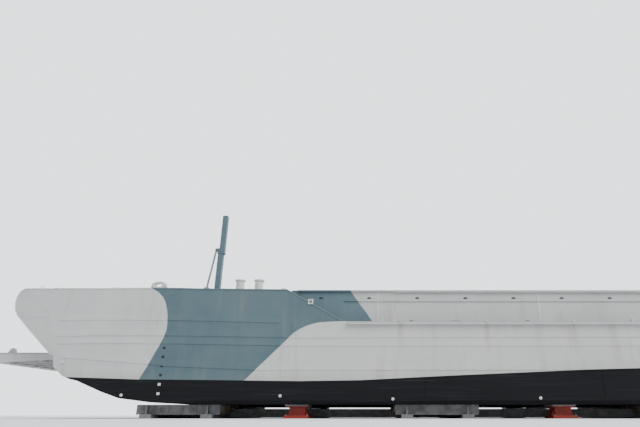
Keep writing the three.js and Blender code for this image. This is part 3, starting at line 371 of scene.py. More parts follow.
def ship_paint(paint):
    """Camouflaged topsides over black bottom paint, with painted decks"""
    mix = Mix("ship_paint")
    x_model, y_model, z_model = mix.split(mix.here)
    u = mix.math("MULTIPLY_ADD", x_model, -1 / SCALE, MIDDLE)
    y = mix.times(mix.math("ABSOLUTE", y_model), 1 / SCALE)
    z = mix.math("MULTIPLY_ADD", z_model, 1 / SCALE, -LIFT)
    outside = mix.minus(1.0, hold_walls(mix, u, y, z))
    patch = mix.times(camouflage(mix, u, z), outside)
    tone = mix.blend(patch, tuple(paint.white), patch_blue_painted_lighter(mix, paint.blue, u, y, z))

    # brushed coats, run-down dirt, rust under the scuppers and scum above the waterline
    coat = mix.noise(1.1, 4, 0.6)
    runs = mix.noise(6.0, 3, 0.6, mix.scaled(mix.here, (1, 1, 0.12)))
    on_white = mix.slope(patch, 0, 1, 1, 0.25)
    tone = mix.blend(mix.times(mix.step(coat, 0.35, 0.7, 0, 0.3), on_white), tone, (0.36, 0.37, 0.36))
    tone = mix.blend(mix.times(mix.step(runs, 0.52, 0.75, 0, 0.34), on_white), tone, (0.30, 0.28, 0.24))
    tone = mix.blend(scupper_rust(mix, u, z, runs), tone, (0.22, 0.13, 0.075))
    specks = mix.step(mix.noise(24, 6, 0.7), 0.69, 0.75)
    tone = mix.blend(mix.times(specks, mix.step(coat, 0.45, 0.65, 0, 0.5)), tone, (0.20, 0.11, 0.06))
    over_boot = mix.minus(z, mix.curve(u, BOOT_LINE, -2, TRANSOM, 3))
    scum = mix.times(mix.step(mix.math("MULTIPLY_ADD", runs, -0.5, over_boot), 0.12, -0.22), 0.3)
    tone = mix.blend(mix.times(scum, on_white), tone, (0.26, 0.27, 0.22))

    under = mix.times(mix.step(over_boot, 0.008, -0.008), outside)
    tone = mix.blend(under, tone, bottom_tone(mix, paint.black))
    tone = mix.blend(mix.step(mix.split(mix.facing)[2], 0.75, 0.85), tone, deck_tone(mix, paint.deck))

    # plates dished a little between their frames
    dished = mix.math("COSINE", mix.times(u, 2 * pi / FRAME_PITCH))
    dents = mix.math("MULTIPLY_ADD", dished, 0.05, mix.noise(0.9, 2))
    normal = mix.bump(mix.noise(160, 2), 0.12, 0.001, mix.bump(dents, 0.35, 0.02))
    mix.plug(mix.shader.inputs["Specular IOR Level"], mix.slope(under, 0, 1, 0.25, 0.10))
    return mix.finish(tone, mix.step(coat, 0.3, 0.8, 0.55, 0.72), 0.0, normal)


def plain_paint(name, color, worn, rough=0.5, rust=0.12, scale=6.0):
    """One coat of paint with a worn tone and a little rust"""
    mix = Mix(name)
    tone = mix.blend(mix.step(mix.noise(scale, 4, 0.6), 0.35, 0.7), color, worn)
    specks = mix.step(mix.noise(scale * 5, 5, 0.7), 0.66, 0.74)
    tone = mix.blend(mix.times(specks, rust), tone, (0.16, 0.06, 0.02))
    normal = mix.bump(mix.noise(scale * 30, 2), 0.15, 0.001)
    gloss = mix.step(mix.noise(scale * 2), 0.3, 0.7, rough - 0.08, rough + 0.1)
    return mix.finish(tone, gloss, 0.0, normal, Specular_IOR_Level=0.3)


def tank_deck_paint(paint):
    """Deck paint scuffed in two lanes, with rust where it's worn through"""
    mix = Mix("tank_deck_coat")
    x, y, _ = mix.split(mix.here)
    tone = mix.blend(mix.step(mix.noise(4, 6, 0.68), 0.3, 0.75), tuple(paint.deck), (0.172, 0.182, 0.18))
    lane = mix.math("ABSOLUTE", mix.minus(mix.math("ABSOLUTE", y), 0.62))
    lane = mix.step(mix.math("MULTIPLY_ADD", mix.noise(2, 3), 0.16, lane), 0.32, 0.2)
    scuffs = mix.noise(9, 5, 0.7, mix.scaled(mix.here, (0.12, 1.6, 1)))
    tone = mix.blend(mix.times(lane, mix.step(scuffs, 0.4, 0.62, 0.1, 0.75)), tone, (0.045, 0.045, 0.047))
    treads = mix.math("SINE", mix.times(x, 2 * pi / 0.075))
    prints = mix.times(lane, mix.step(treads, 0.1, 0.6))
    prints = mix.times(prints, mix.step(mix.noise(1.7, 2), 0.45, 0.6, 0, 0.5))
    tone = mix.blend(prints, tone, (0.10, 0.085, 0.065))
    bare = mix.step(mix.noise(11, 6, 0.72), 0.6, 0.7)
    tone = mix.blend(mix.times(bare, mix.step(lane, 0, 1, 0.35, 0.7)), tone, (0.17, 0.085, 0.045))
    normal = mix.bump(mix.noise(120, 2), 0.15, 0.001)
    return mix.finish(tone, mix.step(scuffs, 0.3, 0.7, 0.55, 0.8), 0.0, normal, Specular_IOR_Level=0.3)


def bare_metal(name, color, worn, rough=0.4, scale=12.0):
    """Metal with a worn or tarnished tone"""
    mix = Mix(name)
    tone = mix.blend(mix.step(mix.noise(scale, 5, 0.65), 0.35, 0.7), color, worn)
    normal = mix.bump(mix.noise(scale * 10, 3), 0.2, 0.001)
    gloss = mix.step(mix.noise(scale * 3), 0.3, 0.7, rough - 0.1, rough + 0.15)
    return mix.finish(tone, gloss, 0.85, normal)


def glazing(name, color, rough):
    """Dark or coloured glass with a little dirt"""
    mix = Mix(name)
    dirt = mix.step(mix.noise(14, 4, 0.6), 0.45, 0.75)
    tone = mix.blend(mix.times(dirt, 0.25), color, (0.2, 0.2, 0.19))
    return mix.finish(tone, mix.step(dirt, 0, 1, rough, rough + 0.2), Coat_Weight=0.6)


def timber(name):
    """Weathered boards with their grain along the longer run"""
    mix = Mix(name)
    grain = mix.noise(26, 5, 0.65, mix.scaled(mix.here, (1, 0.09, 1)))
    tone = mix.blend(mix.step(grain, 0.35, 0.7), (0.27, 0.19, 0.11), (0.15, 0.11, 0.075))
    tone = mix.blend(mix.times(mix.step(mix.noise(4, 3), 0.4, 0.7), 0.4), tone, (0.3, 0.28, 0.25))
    return mix.finish(tone, mix.step(grain, 0.3, 0.7, 0.62, 0.82), 0.0, mix.bump(grain, 0.35, 0.002))


def cordage(name):
    """Rope with its lay as a fine slant"""
    mix = Mix(name)
    lay = mix.node("TexWave", wave_type="BANDS", bands_direction="DIAGONAL")
    mix.plug(lay.inputs["Vector"], mix.here)
    lay.inputs["Scale"].default_value = 60
    lay.inputs["Distortion"].default_value = 1.5
    tone = mix.blend(mix.times(lay.outputs[1], 0.5), (0.26, 0.21, 0.14), (0.13, 0.1, 0.07))
    return mix.finish(tone, 0.85, 0.0, mix.bump(lay.outputs[1], 0.4, 0.002))


PAINTS = (  # key, name, colour, worn colour, roughness, rust, scale of the wear
    ("grey", "grey_steelwork", (0.23, 0.235, 0.24), (0.15, 0.15, 0.15), 0.55, 0.4, 6.0),
    ("red", "red_steelwork", (0.30, 0.025, 0.018), (0.20, 0.03, 0.02), 0.45, 0.2, 6.0),
    ("canvas", "painted_canvas", (0.46, 0.43, 0.34), (0.34, 0.32, 0.26), 0.8, 0.05, 20.0),
    # dark: real dark paint on the upper draught ticks, and painted shade in the slots of the coamings
    ("dark", "dark_marks_and_slot_shade", (0.015, 0.016, 0.018), (0.03, 0.03, 0.03), 0.7, 0.0, 9.0),
)
METALS = (  # key, name, colour, worn colour, roughness, scale of the wear
    ("bronze", "cast_bronze", (0.42, 0.26, 0.09), (0.25, 0.2, 0.1), 0.4, 12.0),
    ("brass", "dull_brass", (0.36, 0.27, 0.12), (0.2, 0.18, 0.11), 0.45, 30.0),
    ("steel", "dark_steel", (0.08, 0.08, 0.085), (0.13, 0.09, 0.06), 0.5, 12.0),
    ("rust", "sooty_steel", (0.05, 0.035, 0.03), (0.14, 0.06, 0.03), 0.75, 12.0),
)
GLASSES = (  # key, name, colour, roughness
    ("glass", "window_glass", (0.02, 0.025, 0.03), 0.06),
    ("red_glass", "red_lamp_glass", (0.35, 0.01, 0.01), 0.12),
    ("green_glass", "green_lamp_glass", (0.01, 0.22, 0.07), 0.12),
)


def make_materials(paint):
    white, blue, deck, black = (tuple(tone) for tone in (paint.white, paint.blue, paint.deck, paint.black))
    # painted light: the small white parts get a copy of the topside white made 15% lighter, standing in for
    # the brighter light they catch
    lit_fittings_white = tuple(min(1, c * 1.15) for c in white)
    MATERIALS["ship"] = ship_paint(paint)
    MATERIALS["white"] = plain_paint("white_fittings_painted_lighter", lit_fittings_white, (0.5, 0.5, 0.48))
    MATERIALS["blue"] = plain_paint("blue_fittings", blue, (0.078, 0.122, 0.142))
    MATERIALS["deck"] = plain_paint("deck_coat", deck, (0.2, 0.205, 0.2), 0.7, 0.35, 4.0)
    MATERIALS["tank_deck"] = tank_deck_paint(paint)
    MATERIALS["bottom"] = plain_paint("bottom_coat", black, (0.05, 0.055, 0.065), 0.6, 0.15, 4.0)
    MATERIALS["wood"] = timber("weathered_wood")
    MATERIALS["rope"] = cordage("manila_rope")
    for table, maker in ((PAINTS, plain_paint), (METALS, bare_metal), (GLASSES, glazing)):
        for key, *given in table:
            MATERIALS[key] = maker(*given)


SLOT_MATERIAL = {
    "white_paint": "ship", "bottom_paint": "ship", "blue_paint": "blue", "deck_paint": "deck",
    "bronze": "bronze", "grey_steel": "grey", "red_paint": "red", "raft": "canvas", "dark_steel": "steel",
}
NODE_MATERIAL = {"tank_deck": "tank_deck"}


# Shapes


def across(direction):
    """Two directions square to a given one"""
    forward = direction.normalized()
    side = Vector((0, 0, 1)).cross(forward)
    if side.length < 0.05:
        side = Vector((0, 1, 0)).cross(forward)
    side.normalize()
    return side, forward.cross(side)


class Shape:
    """Gathers simple solids into one mesh, in metres of the full-size craft"""

    def __init__(self):
        self.mesh = bmesh.new()

    def loft(self, rings, looped=False):
        """Skins a row of rings with equal numbers of points"""
        rows = [[self.mesh.verts.new(place(*p)) for p in ring] for ring in rings]
        count = len(rows[0])
        for a, b in zip(rows, rows[1:] + rows[:1] if looped else rows[1:]):
            for i in range(count):
                self.mesh.faces.new((a[i], a[(i + 1) % count], b[(i + 1) % count], b[i]))
        if not looped:
            self.mesh.faces.new(rows[0])
            self.mesh.faces.new(rows[-1])
        return self

    def plate(self, outline, thick):
        """A flat outline of u, y, z points with a thickness as a vector"""
        thick = Vector(thick)
        return self.loft([[Vector(p) for p in outline], [Vector(p) + thick for p in outline]])

    def box(self, u0, u1, y0, y1, z0, z1):
        return self.plate(((u0, y0, z0), (u1, y0, z0), (u1, y1, z0), (u0, y1, z0)), (0, 0, z1 - z0))

    def pad(self, u, y, long, wide, z0, z1):
        """A box from its middle and half sizes, and its foot and top"""
        return self.box(u - long, u + long, y - wide, y + wide, z0, z1)

    def pipe(self, points, radius, sides=8, looped=False):
        """A round bar through a list of points, mitred where it bends"""
        points = [Vector(p) for p in points]
        radii = radius if isinstance(radius, (list, tuple)) else [radius] * len(points)
        rings = []
        side, up = across(points[1] - points[0])
        for i, (p, r) in enumerate(zip(points, radii)):
            last = points[i - 1] if i or looped else p
            following = points[(i + 1) % len(points)] if looped or i + 1 < len(points) else p
            way = ((p - last).normalized() + (following - p).normalized()).normalized()
            side = (side - way * side.dot(way)).normalized()
            up = way.cross(side)
            rings.append([p + (side * cos(t) + up * sin(t)) * r for t in turns_of(sides)])
        return self.loft(rings, looped)

    def fore_aft(self, u0, u1, y, z, radius, sides=8):
        return self.pipe([(u0, y, z), (u1, y, z)], radius, sides)

    def athwart(self, u, y0, y1, z, radius, sides=8):
        return self.pipe([(u, y0, z), (u, y1, z)], radius, sides)

    def upright(self, u, y, z0, z1, radius, sides=8):
        return self.pipe([(u, y, z0), (u, y, z1)], radius, sides)

    def turned(self, profile, centre=(0, 0, 0), axis=(0, 0, 1), sides=16, squash=(1, 1)):
        """A profile as (radius, height) turned about an axis, and squashed"""
        axis = Vector(axis).normalized()
        side, up = across(axis)
        rings = []
        closed = profile[0] == profile[-1]
        wide, deep = squash
        for r, h in profile[:-1] if closed else profile:
            r = max(r, 1e-4)
            spots = [(r * cos(t) * wide, r * sin(t) * deep) for t in turns_of(sides)]
            rings.append([Vector(centre) + axis * h + side * a + up * b for a, b in spots])
        return self.loft(rings, closed)

    def stud(self, centre, r, high):
        """A six-sided bolt head that stands upright"""
        return self.turned([(r, 0), (r, high), (0, high + 0.005)], centre, sides=6)

    def studs(self, u, y, z, far, count, r, high, start=0.0):
        """Bolt heads in a circle"""
        for a, b, _ in polar(u, y, far, count, start):
            self.stud((a, b, z), r, high)
        return self

    def ball(self, centre, r, sides=10):
        arc = [pi * i / 6 for i in range(7)]
        return self.turned([(r * sin(t), -r * cos(t)) for t in arc], centre, sides=sides)

    def ring(self, centre, r, thick, axis=(0, 0, 1), turns=20, sides=8, squash=(1, 1)):
        """A closed ring of round bar"""
        side, up = across(Vector(axis))
        side, up, middle = side * r * squash[0], up * r * squash[1], Vector(centre)
        line = [middle + side * cos(t) + up * sin(t) for t in turns_of(turns)]
        return self.pipe(line, thick, sides, True)

    def rung(self, u, out, y, z):
        """A step bent from round bar, standing out aft of a wall"""
        half = 0.16
        line = [(u, y - half, z), (u + out, y - half, z), (u + out, y + half, z), (u, y + half, z)]
        return self.pipe(line, 0.014, 6)

    def swept(self, section, line):
        """A section of (out, up) pairs along a line of places on the side: u, z, side"""
        return self.loft([[on_side(u, z + up, s, out) for out, up in section] for u, z, s in line])

    def on_hull(self, u, z, s, long, high, reach, taper=1):
        """A block on the hull's side from its lower forward corner, with its inner and outer reach"""
        ends = ((0, 0), (long, 0), (long, high), (0, high))
        inner, outer = reach
        rings = ((inner, 1), (outer, taper))
        return self.loft([[on_side(u + a * k, z + b, s, out) for a, b in ends] for out, k in rings])

    def made(self, name, material, body="hull", bevel=0.0, replaces=(), angle=35):
        """The finished object, riding on a body"""
        mesh = self.mesh
        if bevel:
            edges = [e for e in mesh.edges if len(e.link_faces) == 2 and e.calc_face_angle(0) > 0.6]
            bmesh.ops.bevel(
                mesh, geom=edges, offset=bevel * SCALE, segments=1, affect="EDGES", clamp_overlap=True)
        bmesh.ops.recalc_face_normals(mesh, faces=mesh.faces)
        data = bpy.data.meshes.new(name)
        mesh.to_mesh(data)
        mesh.free()
        return dressed(name, data, material, body, replaces, angle)


def dressed(name, data, material, body="hull", replaces=(), angle=35):
    """Gives a mesh its material, shading and body"""
    data.materials.clear()
    data.materials.append(MATERIALS[material])
    data.shade_smooth()
    data.set_sharp_from_angle(angle=radians(angle))
    piece = bpy.data.objects.new(name, data)
    bpy.context.scene.collection.objects.link(piece)
    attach(piece, body)
    if replaces:
        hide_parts(*replaces)
    return piece


# Repeats by Geometry Nodes


def repeat_tree():
    """Puts one piece at every place, turned and sized by its attributes, as real mesh"""
    tree = bpy.data.node_groups.new("repeat", "GeometryNodeTree")
    sockets = (
        ("Places", "Geometry"), ("Piece", "Object"), ("Finish", "Material"), ("Unevenness", "Float"),
        ("Seed", "Int"),
    )
    for name, kind in sockets:
        tree.interface.new_socket(name, in_out="INPUT", socket_type="NodeSocket" + kind)
    tree.interface.new_socket("Pieces", in_out="OUTPUT", socket_type="NodeSocketGeometry")

    def node(kind, inputs=(), **settings):
        made = tree.nodes.new(kind)
        for key, value in settings.items():
            setattr(made, key, value)
        for key, value in inputs:
            made.inputs[key].default_value = value
        return made

    given = node("NodeGroupInput").outputs
    info = node("GeometryNodeObjectInfo")
    turn = node("GeometryNodeInputNamedAttribute", [("Name", "turn")], data_type="FLOAT_VECTOR")
    size = node("GeometryNodeInputNamedAttribute", [("Name", "size")], data_type="FLOAT_VECTOR")
    limits = [("Min", (-1, -1, -1)), ("Max", (1, 1, 1))]
    chance = node("FunctionNodeRandomValue", limits, data_type="FLOAT_VECTOR")
    uneven = node("ShaderNodeVectorMath", operation="SCALE")
    total = node("ShaderNodeVectorMath", operation="ADD")
    put = node("GeometryNodeInstanceOnPoints")
    real = node("GeometryNodeRealizeInstances")
    finish = node("GeometryNodeSetMaterial")
    out = node("NodeGroupOutput")
    for a, b in (
        (given["Piece"], info.inputs["Object"]),
        (given["Seed"], chance.inputs["Seed"]),
        (chance.outputs[0], uneven.inputs[0]),
        (given["Unevenness"], uneven.inputs["Scale"]),
        (turn.outputs["Attribute"], total.inputs[0]),
        (uneven.outputs[0], total.inputs[1]),
        (given["Places"], put.inputs["Points"]),
        (info.outputs["Geometry"], put.inputs["Instance"]),
        (total.outputs[0], put.inputs["Rotation"]),
        (size.outputs["Attribute"], put.inputs["Scale"]),
        (put.outputs[0], real.inputs[0]),
        (real.outputs[0], finish.inputs["Geometry"]),
        (given["Finish"], finish.inputs["Material"]),
        (finish.outputs[0], out.inputs[0]),
    ):
        tree.links.new(a, b)
    return tree


# Turns that face a fitting's front, its own +Y, to each side of the craft
FACE = {"port": 0, "starboard": pi, "ahead": -pi / 2, "aft": pi / 2}


def repeat(name, piece, places, material, body="hull", unevenness=0.0, seed=1):
    """One piece at many places: u, y, z, then the turn as three angles or a side, then the size"""
    master = bpy.data.objects.new(name + "_master", bpy.data.meshes.new(name + "_master"))
    bmesh.ops.translate(piece.mesh, verts=piece.mesh.verts, vec=-place(0, 0, 0))
    bmesh.ops.recalc_face_normals(piece.mesh, faces=piece.mesh.faces)
    piece.mesh.to_mesh(master.data)
    piece.mesh.free()
    spots = bpy.data.meshes.new(name)
    spots.from_pydata([place(*p[:3]) for p in places], [], [])
    turns = spots.attributes.new("turn", "FLOAT_VECTOR", "POINT")
    sizes = spots.attributes.new("size", "FLOAT_VECTOR", "POINT")
    for i, p in enumerate(places):
        turn = p[3] if len(p) > 3 else "port"
        turns.data[i].vector = (0, 0, FACE[turn]) if isinstance(turn, str) else turn
        size = p[4] if len(p) > 4 else 1
        sizes.data[i].vector = size if isinstance(size, tuple) else (size, size, size)
    made = bpy.data.objects.new(name, spots)
    for thing in (master, made):
        bpy.context.scene.collection.objects.link(thing)
    if "repeat" not in bpy.data.node_groups:
        repeat_tree()
    tree = bpy.data.node_groups["repeat"]
    nodes = made.modifiers.new("repeat", "NODES")
    nodes.node_group = tree
    given = {"Piece": master, "Finish": MATERIALS[material], "Unevenness": unevenness, "Seed": seed}
    for item in tree.interface.items_tree:
        if item.name in given:
            nodes[item.identifier] = given[item.name]
    graph = bpy.context.evaluated_depsgraph_get()
    data = bpy.data.meshes.new_from_object(made.evaluated_get(graph), depsgraph=graph)
    made.modifiers.clear()
    for thing in (master, made):
        bpy.data.objects.remove(thing)
    data.name = name
    return dressed(name, data, material, body)


def both(u, y, z):
    """Places on the port and the starboard wall that face outward"""
    return [(u, s * y, z, side) for side, s in SIDES]


# Bolts


def bolt_head(r):
    return Shape().turned([(r, 0), (r, r * 0.8), (r * 0.6, r * 1.1)], axis=(0, 1, 0), sides=6)


def flat_bolt(r):
    """A bolt with its washer, upright"""
    profile = [(r * 1.6, 0), (r * 1.6, r * 0.3), (r, r * 0.3), (r, r * 1.1), (r * 0.6, r * 1.3)]
    return Shape().turned(profile, sides=6)


# Hull

LAPS = (  # lower edges of the plate laps as u, z
    ((-0.4, 2.94), (7.92, 2.72)),
    ((-0.4, 2.37), (8.66, 2.20), (19.2, 2.23), (fwd(9), 2.25)),
    ((-0.3, 2.09), (8.67, 1.92), (fwd(8.5), 1.95)),
    ((-0.1, 1.60), (2.44, 1.40), (4.17, 1.24), (7.51, 1.10), (fwd(8.5), 1.16)),
)
BUTTS = (  # where each strake's plates meet: first place, pitch, lowest and highest point
    (8.35, 6.1, 2.22, 2.72),
    (5.3, 6.1, 1.95, 2.2),
    (2.2, 6.1, 1.25, 1.95),
    (6.9, 6.1, 0.2, 1.15),
)
CREASES = (  # where the bow's plates are bent or joined, as u, z
    ((-2.08, 4.0), (-1.6, 3.67), (-0.98, 3.25)),
    ((-2.18, 3.16), (-1.5, 3.125), (-0.89, 3.09)),
    ((-0.89, 3.09), (-1.02, 2.73)),
    ((-1.01, 3.74), (-0.63, 2.24)),
)
CHEEK_EDGE = (
    (-0.37, 1.7), (-0.5, 1.74), (-1.5, 2.52), (-2.0, 2.91), (-2.44, 3.25), (-2.62, 3.46), (-2.71, 3.76),
    (-2.68, 4.0), (-2.55, 4.18), (-2.36, 4.26), (-2.1, 4.25),
)
SHEER = (
    (-2.0, 4.235), (-1.13, 4.165), (-0.5, 4.135), (1.1, 4.045), (2.5, 4.01), (4.2, 3.97), (4.9, 3.945),
    (6, 3.93), (8.1, 3.905),
)
DECK_BREAK = ((8.1, 3.905), (10.1, 2.79))


def shell():
    """Plate edges, welds and creases of the hull's sides"""
    for name, s in SIDES:
        laps = Shape()
        for line in LAPS:
            knots = sorted({u for u, _ in line} | {u for u, _ in PLAN if line[0][0] < u < line[-1][0]})
            section = ((0.0, 0.0), (0.016, 0.0), (0.013, 0.03), (0.0, 0.22))
            laps.swept(section, [(u, along(line, u), s) for u in knots])
        laps.made(name + "_plate_laps", "ship")
        seam_welds(s).made(name + "_seam_welds", "ship")
        belting = [(fwd(d), DECK_Z, s) for d in (5.95, 5.5, 2.9, 1.1, 0.3, 0.03)]
        edge = Shape().swept(((0.0, -0.16), (0.05, -0.13), (0.05, -0.04), (0.0, 0.0)), belting)
        edge.made(name + "_quarter_belting", "ship", bevel=0.004)


def seam_welds(s):
    """Butt welds, creases and the rounded edges of one side"""
    welds = Shape()
    for first, pitch, low, high in BUTTS:
        for u in steps(first, fwd(9.5), pitch):
            welds.pipe([on_side(u, low, s), on_side(u, high, s)], 0.012, 6)
    for line in CREASES:
        welds.pipe([on_side(u, z, s) for u, z in line], 0.014, 6)
    welds.pipe([on_side(u + 0.012, z, s, -0.01) for u, z in CHEEK_EDGE], 0.03)
    welds.pipe([on_side(u, z, s, -0.012) for u, z in SHEER], 0.032)
    welds.pipe([on_side(u, z, s, -0.012) for u, z in DECK_BREAK], 0.028)
    return welds


DRAUGHT_MARKS = ((3.85, 0.3, 2.0), (27.6, 0.2, 1.9), (fwd(6.2), 1.2, 2.5))  # u, lowest and highest
SENSORS = ((2.6, 0.3), (8.08, 0.27), (11.9, 0.17), (16.9, 0.2), (23.5, 0.2), (30.2, 0.2), (37.0, 0.2))


def side_marks():
    for name, s in SIDES:
        draught_ticks(name, s)
        spots = Shape()
        for u, z in SENSORS:
            spot = [(0, 0), (0.05, 0), (0.05, 0.02), (0.035, 0.03), (0, 0.03)]
            spots.turned(spot, on_side(u, z, s, -0.002), (0, s, 0), 20)
        spots.made(name + "_sensor_spots", "white")
        zincs = Shape()
        for u in steps(22, 40, 4.5):
            zincs.on_hull(u, 0.55, s, 0.3, 0.1, (0, 0.045), 0.93)
        zincs.made(name + "_zincs", "steel", bevel=0.01)
        sea_inlets(s).made(name + "_sea_inlets", "ship")
        scuppers = Shape()
        for u in steps(*SCUPPERS):
            z = DECK_Z - 0.02
            scuppers.pipe([on_side(u, z, s, 0.145), on_side(u, z, s, -0.1)], 0.03, 10)
        scuppers.made(name + "_scupper_spouts", "white")
        rungs = Shape()
        for z in steps(1.95, 2.6, 0.3):
            ends = ((-0.26, -0.02), (-0.26, 0.07), (-0.06, 0.07), (-0.06, -0.02))
            rungs.pipe([on_side(TRANSOM + a, z, s, out) for a, out in ends], 0.014, 6)
        rungs.made(name + "_quarter_rungs", "white")


def draught_ticks(name, s):
    ticks = {"white": Shape(), "dark": Shape()}
    for u, low, high in DRAUGHT_MARKS:
        for z in steps(low, high, 0.305):
            shade = "white" if z < along(BOOT_LINE, u) else "dark"
            ticks[shade].on_hull(u, z, s, 0.1, 0.085, (0, 0.006))
    for shade, shape in ticks.items():
        shape.made(f"{name}_{shade}_draught_ticks", shade)


def sea_inlets(s):
    inlets = Shape()
    for u in (fwd(14.0), fwd(12.6)):
        for i in range(6):
            inlets.on_hull(u, 0.42 + i * 0.055, s, 0.4, 0.025, (0, 0.018))
        rim = ((-0.03, 0.39), (0.43, 0.39), (0.43, 0.74), (-0.03, 0.74))
        inlets.pipe([on_side(u + a, z, s, 0.008) for a, z in rim], 0.014, 6, True)
    return inlets


def bottom_welds():
    bottom, sunk = Shape(), 0.001
    rise = [(5.5, 0)] + list(STERN_RISE[1:-1])
    for y in (-3.6, -2.4, -1.2, 1.2, 2.4, 3.6):
        bottom.pipe([(u, y, z - sunk) for u, z in rise], 0.012, 6)
    for u in steps(8, 44, 6):
        bottom.athwart(u, -4.4, 4.4, -sunk, 0.012, 6)
    bottom.made("bottom_welds", "ship")


# Bow

BOLLARD = (
    (0, 0), (0.15, 0), (0.15, 0.345), (0.165, 0.36), (0.192, 0.368), (0.195, 0.4), (0.185, 0.416),
    (0.16, 0.42), (0, 0.424),
)
LEAD_SECTION = (
    (0.12, -0.05), (0.15, -0.07), (0.255, -0.07), (0.275, -0.05), (0.28, 0), (0.275, 0.05), (0.255, 0.07),
    (0.15, 0.07), (0.12, 0.05), (0.12, -0.05),
)


def bollards(places, y, z):
    """Two round mooring posts on their base, each with a bar"""
    posts = Shape().box(places[0] - 0.28, places[1] + 0.28, y - 0.2, y + 0.2, z, z + 0.03)
    for u in places:
        posts.turned(BOLLARD, (u, y, z + 0.02), sides=32)
        posts.athwart(u, y - 0.22, y + 0.22, z + 0.26, 0.022)
        posts.ring((u, y, z + 0.03), 0.155, 0.014, turns=24, sides=6)
        for a, b in corners(0.23, 0.16):
            posts.stud((u + a, y + b, z + 0.02), 0.022, 0.025)
    return posts


def bow_gear():
    for name, s in SIDES:
        bow_fairlead(name, s)
        posts = bollards((6.26, 6.96), s * 4.1, bow_deck(6.26) + 0.012)
        posts.made(name + "_bollard_castings", "white", bevel=0.004, replaces=(name + "_bow_bollards",))
        bow_eyes(name, s)
        winch_wire(name, s)
        ramp_winch(name, s)
        sheave_rims(name, s)
    bow_post()
    for name, s in SIDES:
        y, low = s * 3.504, bow_deck(8.4)
        outline = [(7.98, y, 3.97), (8.4, y, low - 0.02), (8.4, y, COAMING_TOP), (8.12, y, COAMING_TOP)]
        Shape().plate(outline, (0, s * 0.03, 0)).made(name + "_coaming_end_plate", "blue", bevel=0.004)
    lugs = Shape()
    for _, s in SIDES:
        lugs.on_hull(0.02, 1.4, s, 0.18, 0.09, (-0.01, 0.05))
    lugs.made("cheek_lugs", "white", bevel=0.006)


def bow_fairlead(name, s):
    u, y, z = 3.26, s * 4.12, bow_deck(3.26) + 0.014
    top = z + 0.05
    lead = Shape().turned(LEAD_SECTION, (u, y, z + 0.17), (0, 1, 0), 40, (1, 0.52))
    lead.pad(u, y, 0.48, 0.1, z, top)
    for a in (-0.4, 0.4):
        for b in (-0.06, 0.06):
            lead.stud((u + a, y + b, top), 0.022, 0.02)
        gusset = ((a * 0.85, 0.05), (a * 0.7, 0.15), (a * 0.4, 0.05))
        lead.plate([(u + d, y - 0.01, z + up) for d, up in gusset], (0, 0.02, 0))
    lead.made(name + "_closed_fairlead", "white", bevel=0.004, replaces=(name + "_bow_fairlead",))


def bow_eyes(name, s):
    eyes = Shape()
    y, z = s * (HALF_BEAM + 0.02), bow_deck(8.95) + 0.045
    eyes.pipe([(8.97 + a, y, z + b) for a, b in corners(0.068, 0.068)], 0.036, 8, True)
    head = ((0, 0.002), (0.137, 0.002), (0.137, 0.103), (0.104, 0.146), (0, 0.157))
    u, y, z = 7.9, s * 4.1, bow_deck(7.9)
    eyes.turned(head, (u, y, z), sides=24)
    eyes.ring((u, y, z + 0.02), 0.14, 0.018, turns=24, sides=6)
    y = s * 3.3
    for u in (-1.6, 0.3, 5.0):
        z = bow_deck(u)
        eyes.ring((u, y, z + 0.07), 0.07, 0.014, (0, 1, 0.3), 16, 6)
        eyes.pad(u, y, 0.05, 0.05, z - 0.01, z + 0.02)
    eyes.made(name + "_bow_eyes", "white", bevel=0.003)


POST_U, POST_Y, POST_TOP, POST_HALF = 5.5, 4.22, 6.87, 0.095
POST_FOOT = bow_deck(POST_U) + 0.014
POST_LOWER = POST_U - 0.037  # the lower bar stands a little ahead of the upper one


def bow_post():
    """The tall post on the port bow in two spliced bars, its foot and strut"""
    u, y, z, half, lower = POST_U, POST_Y, POST_FOOT, POST_HALF, POST_LOWER
    post = Shape().box(lower - half, lower + half, y - half - 0.008, y + half + 0.008, z, z + 1.56)
    post.pad(u, y, half, half, z + 1.42, POST_TOP)
    cap = half - 0.02
    post.pad(u, y, cap, cap, POST_TOP - 0.01, POST_TOP + 0.015)
    post.box(lower - half - 0.02, u + half + 0.01, y - half - 0.025, y + half + 0.025, z + 1.4, z + 1.46)
    post.box(lower - half - 0.13, lower - half + 0.02, y - 0.035, y + 0.035, z + 1.5, z + 1.62)
    post.box(u - 0.58, u + 0.3, y - 0.2, y + 0.2, z, z + 0.03)
    for up in (0.5, 1.0):
        a, b = half + 0.006, half + 0.014
        post.pad(lower, y, a, b, z + up, z + up + 0.03)
    for height in (5.8, 6.3, 6.75):
        post.ring((u, y - half - 0.02, height), 0.03, 0.009, turns=14, sides=6)
    for a in (-0.53, 0.25, -0.25):
        for b in (-0.15, 0.15):
            post.stud((u + a, y + b, z + 0.03), 0.022, 0.025)
    post.made("slim_bow_post", "blue", bevel=0.004, replaces=("bow_post",))
    head = (lower - half - 0.1, y, z + 1.56)
    strut = Shape().pipe([(u - 0.44, y, z + 0.08), head], 0.036, 10)
    strut.box(u - 0.52, u - 0.36, y - 0.05, y + 0.05, z + 0.03, z + 0.12)
    strut.ring(head, 0.04, 0.015, (0, 1, 0), 14, 6)
    strut.made("bow_post_strut", "grey", bevel=0.004)


CHEEK_FACE = 2.15
CHEEK_UPRIGHTS = ((-1.45, 2.75, 4.1), (-0.1, 2.0, 4.05), (1.25, 2.0, 4.0), (2.45, 1.75, 4.0))  # u, low, high


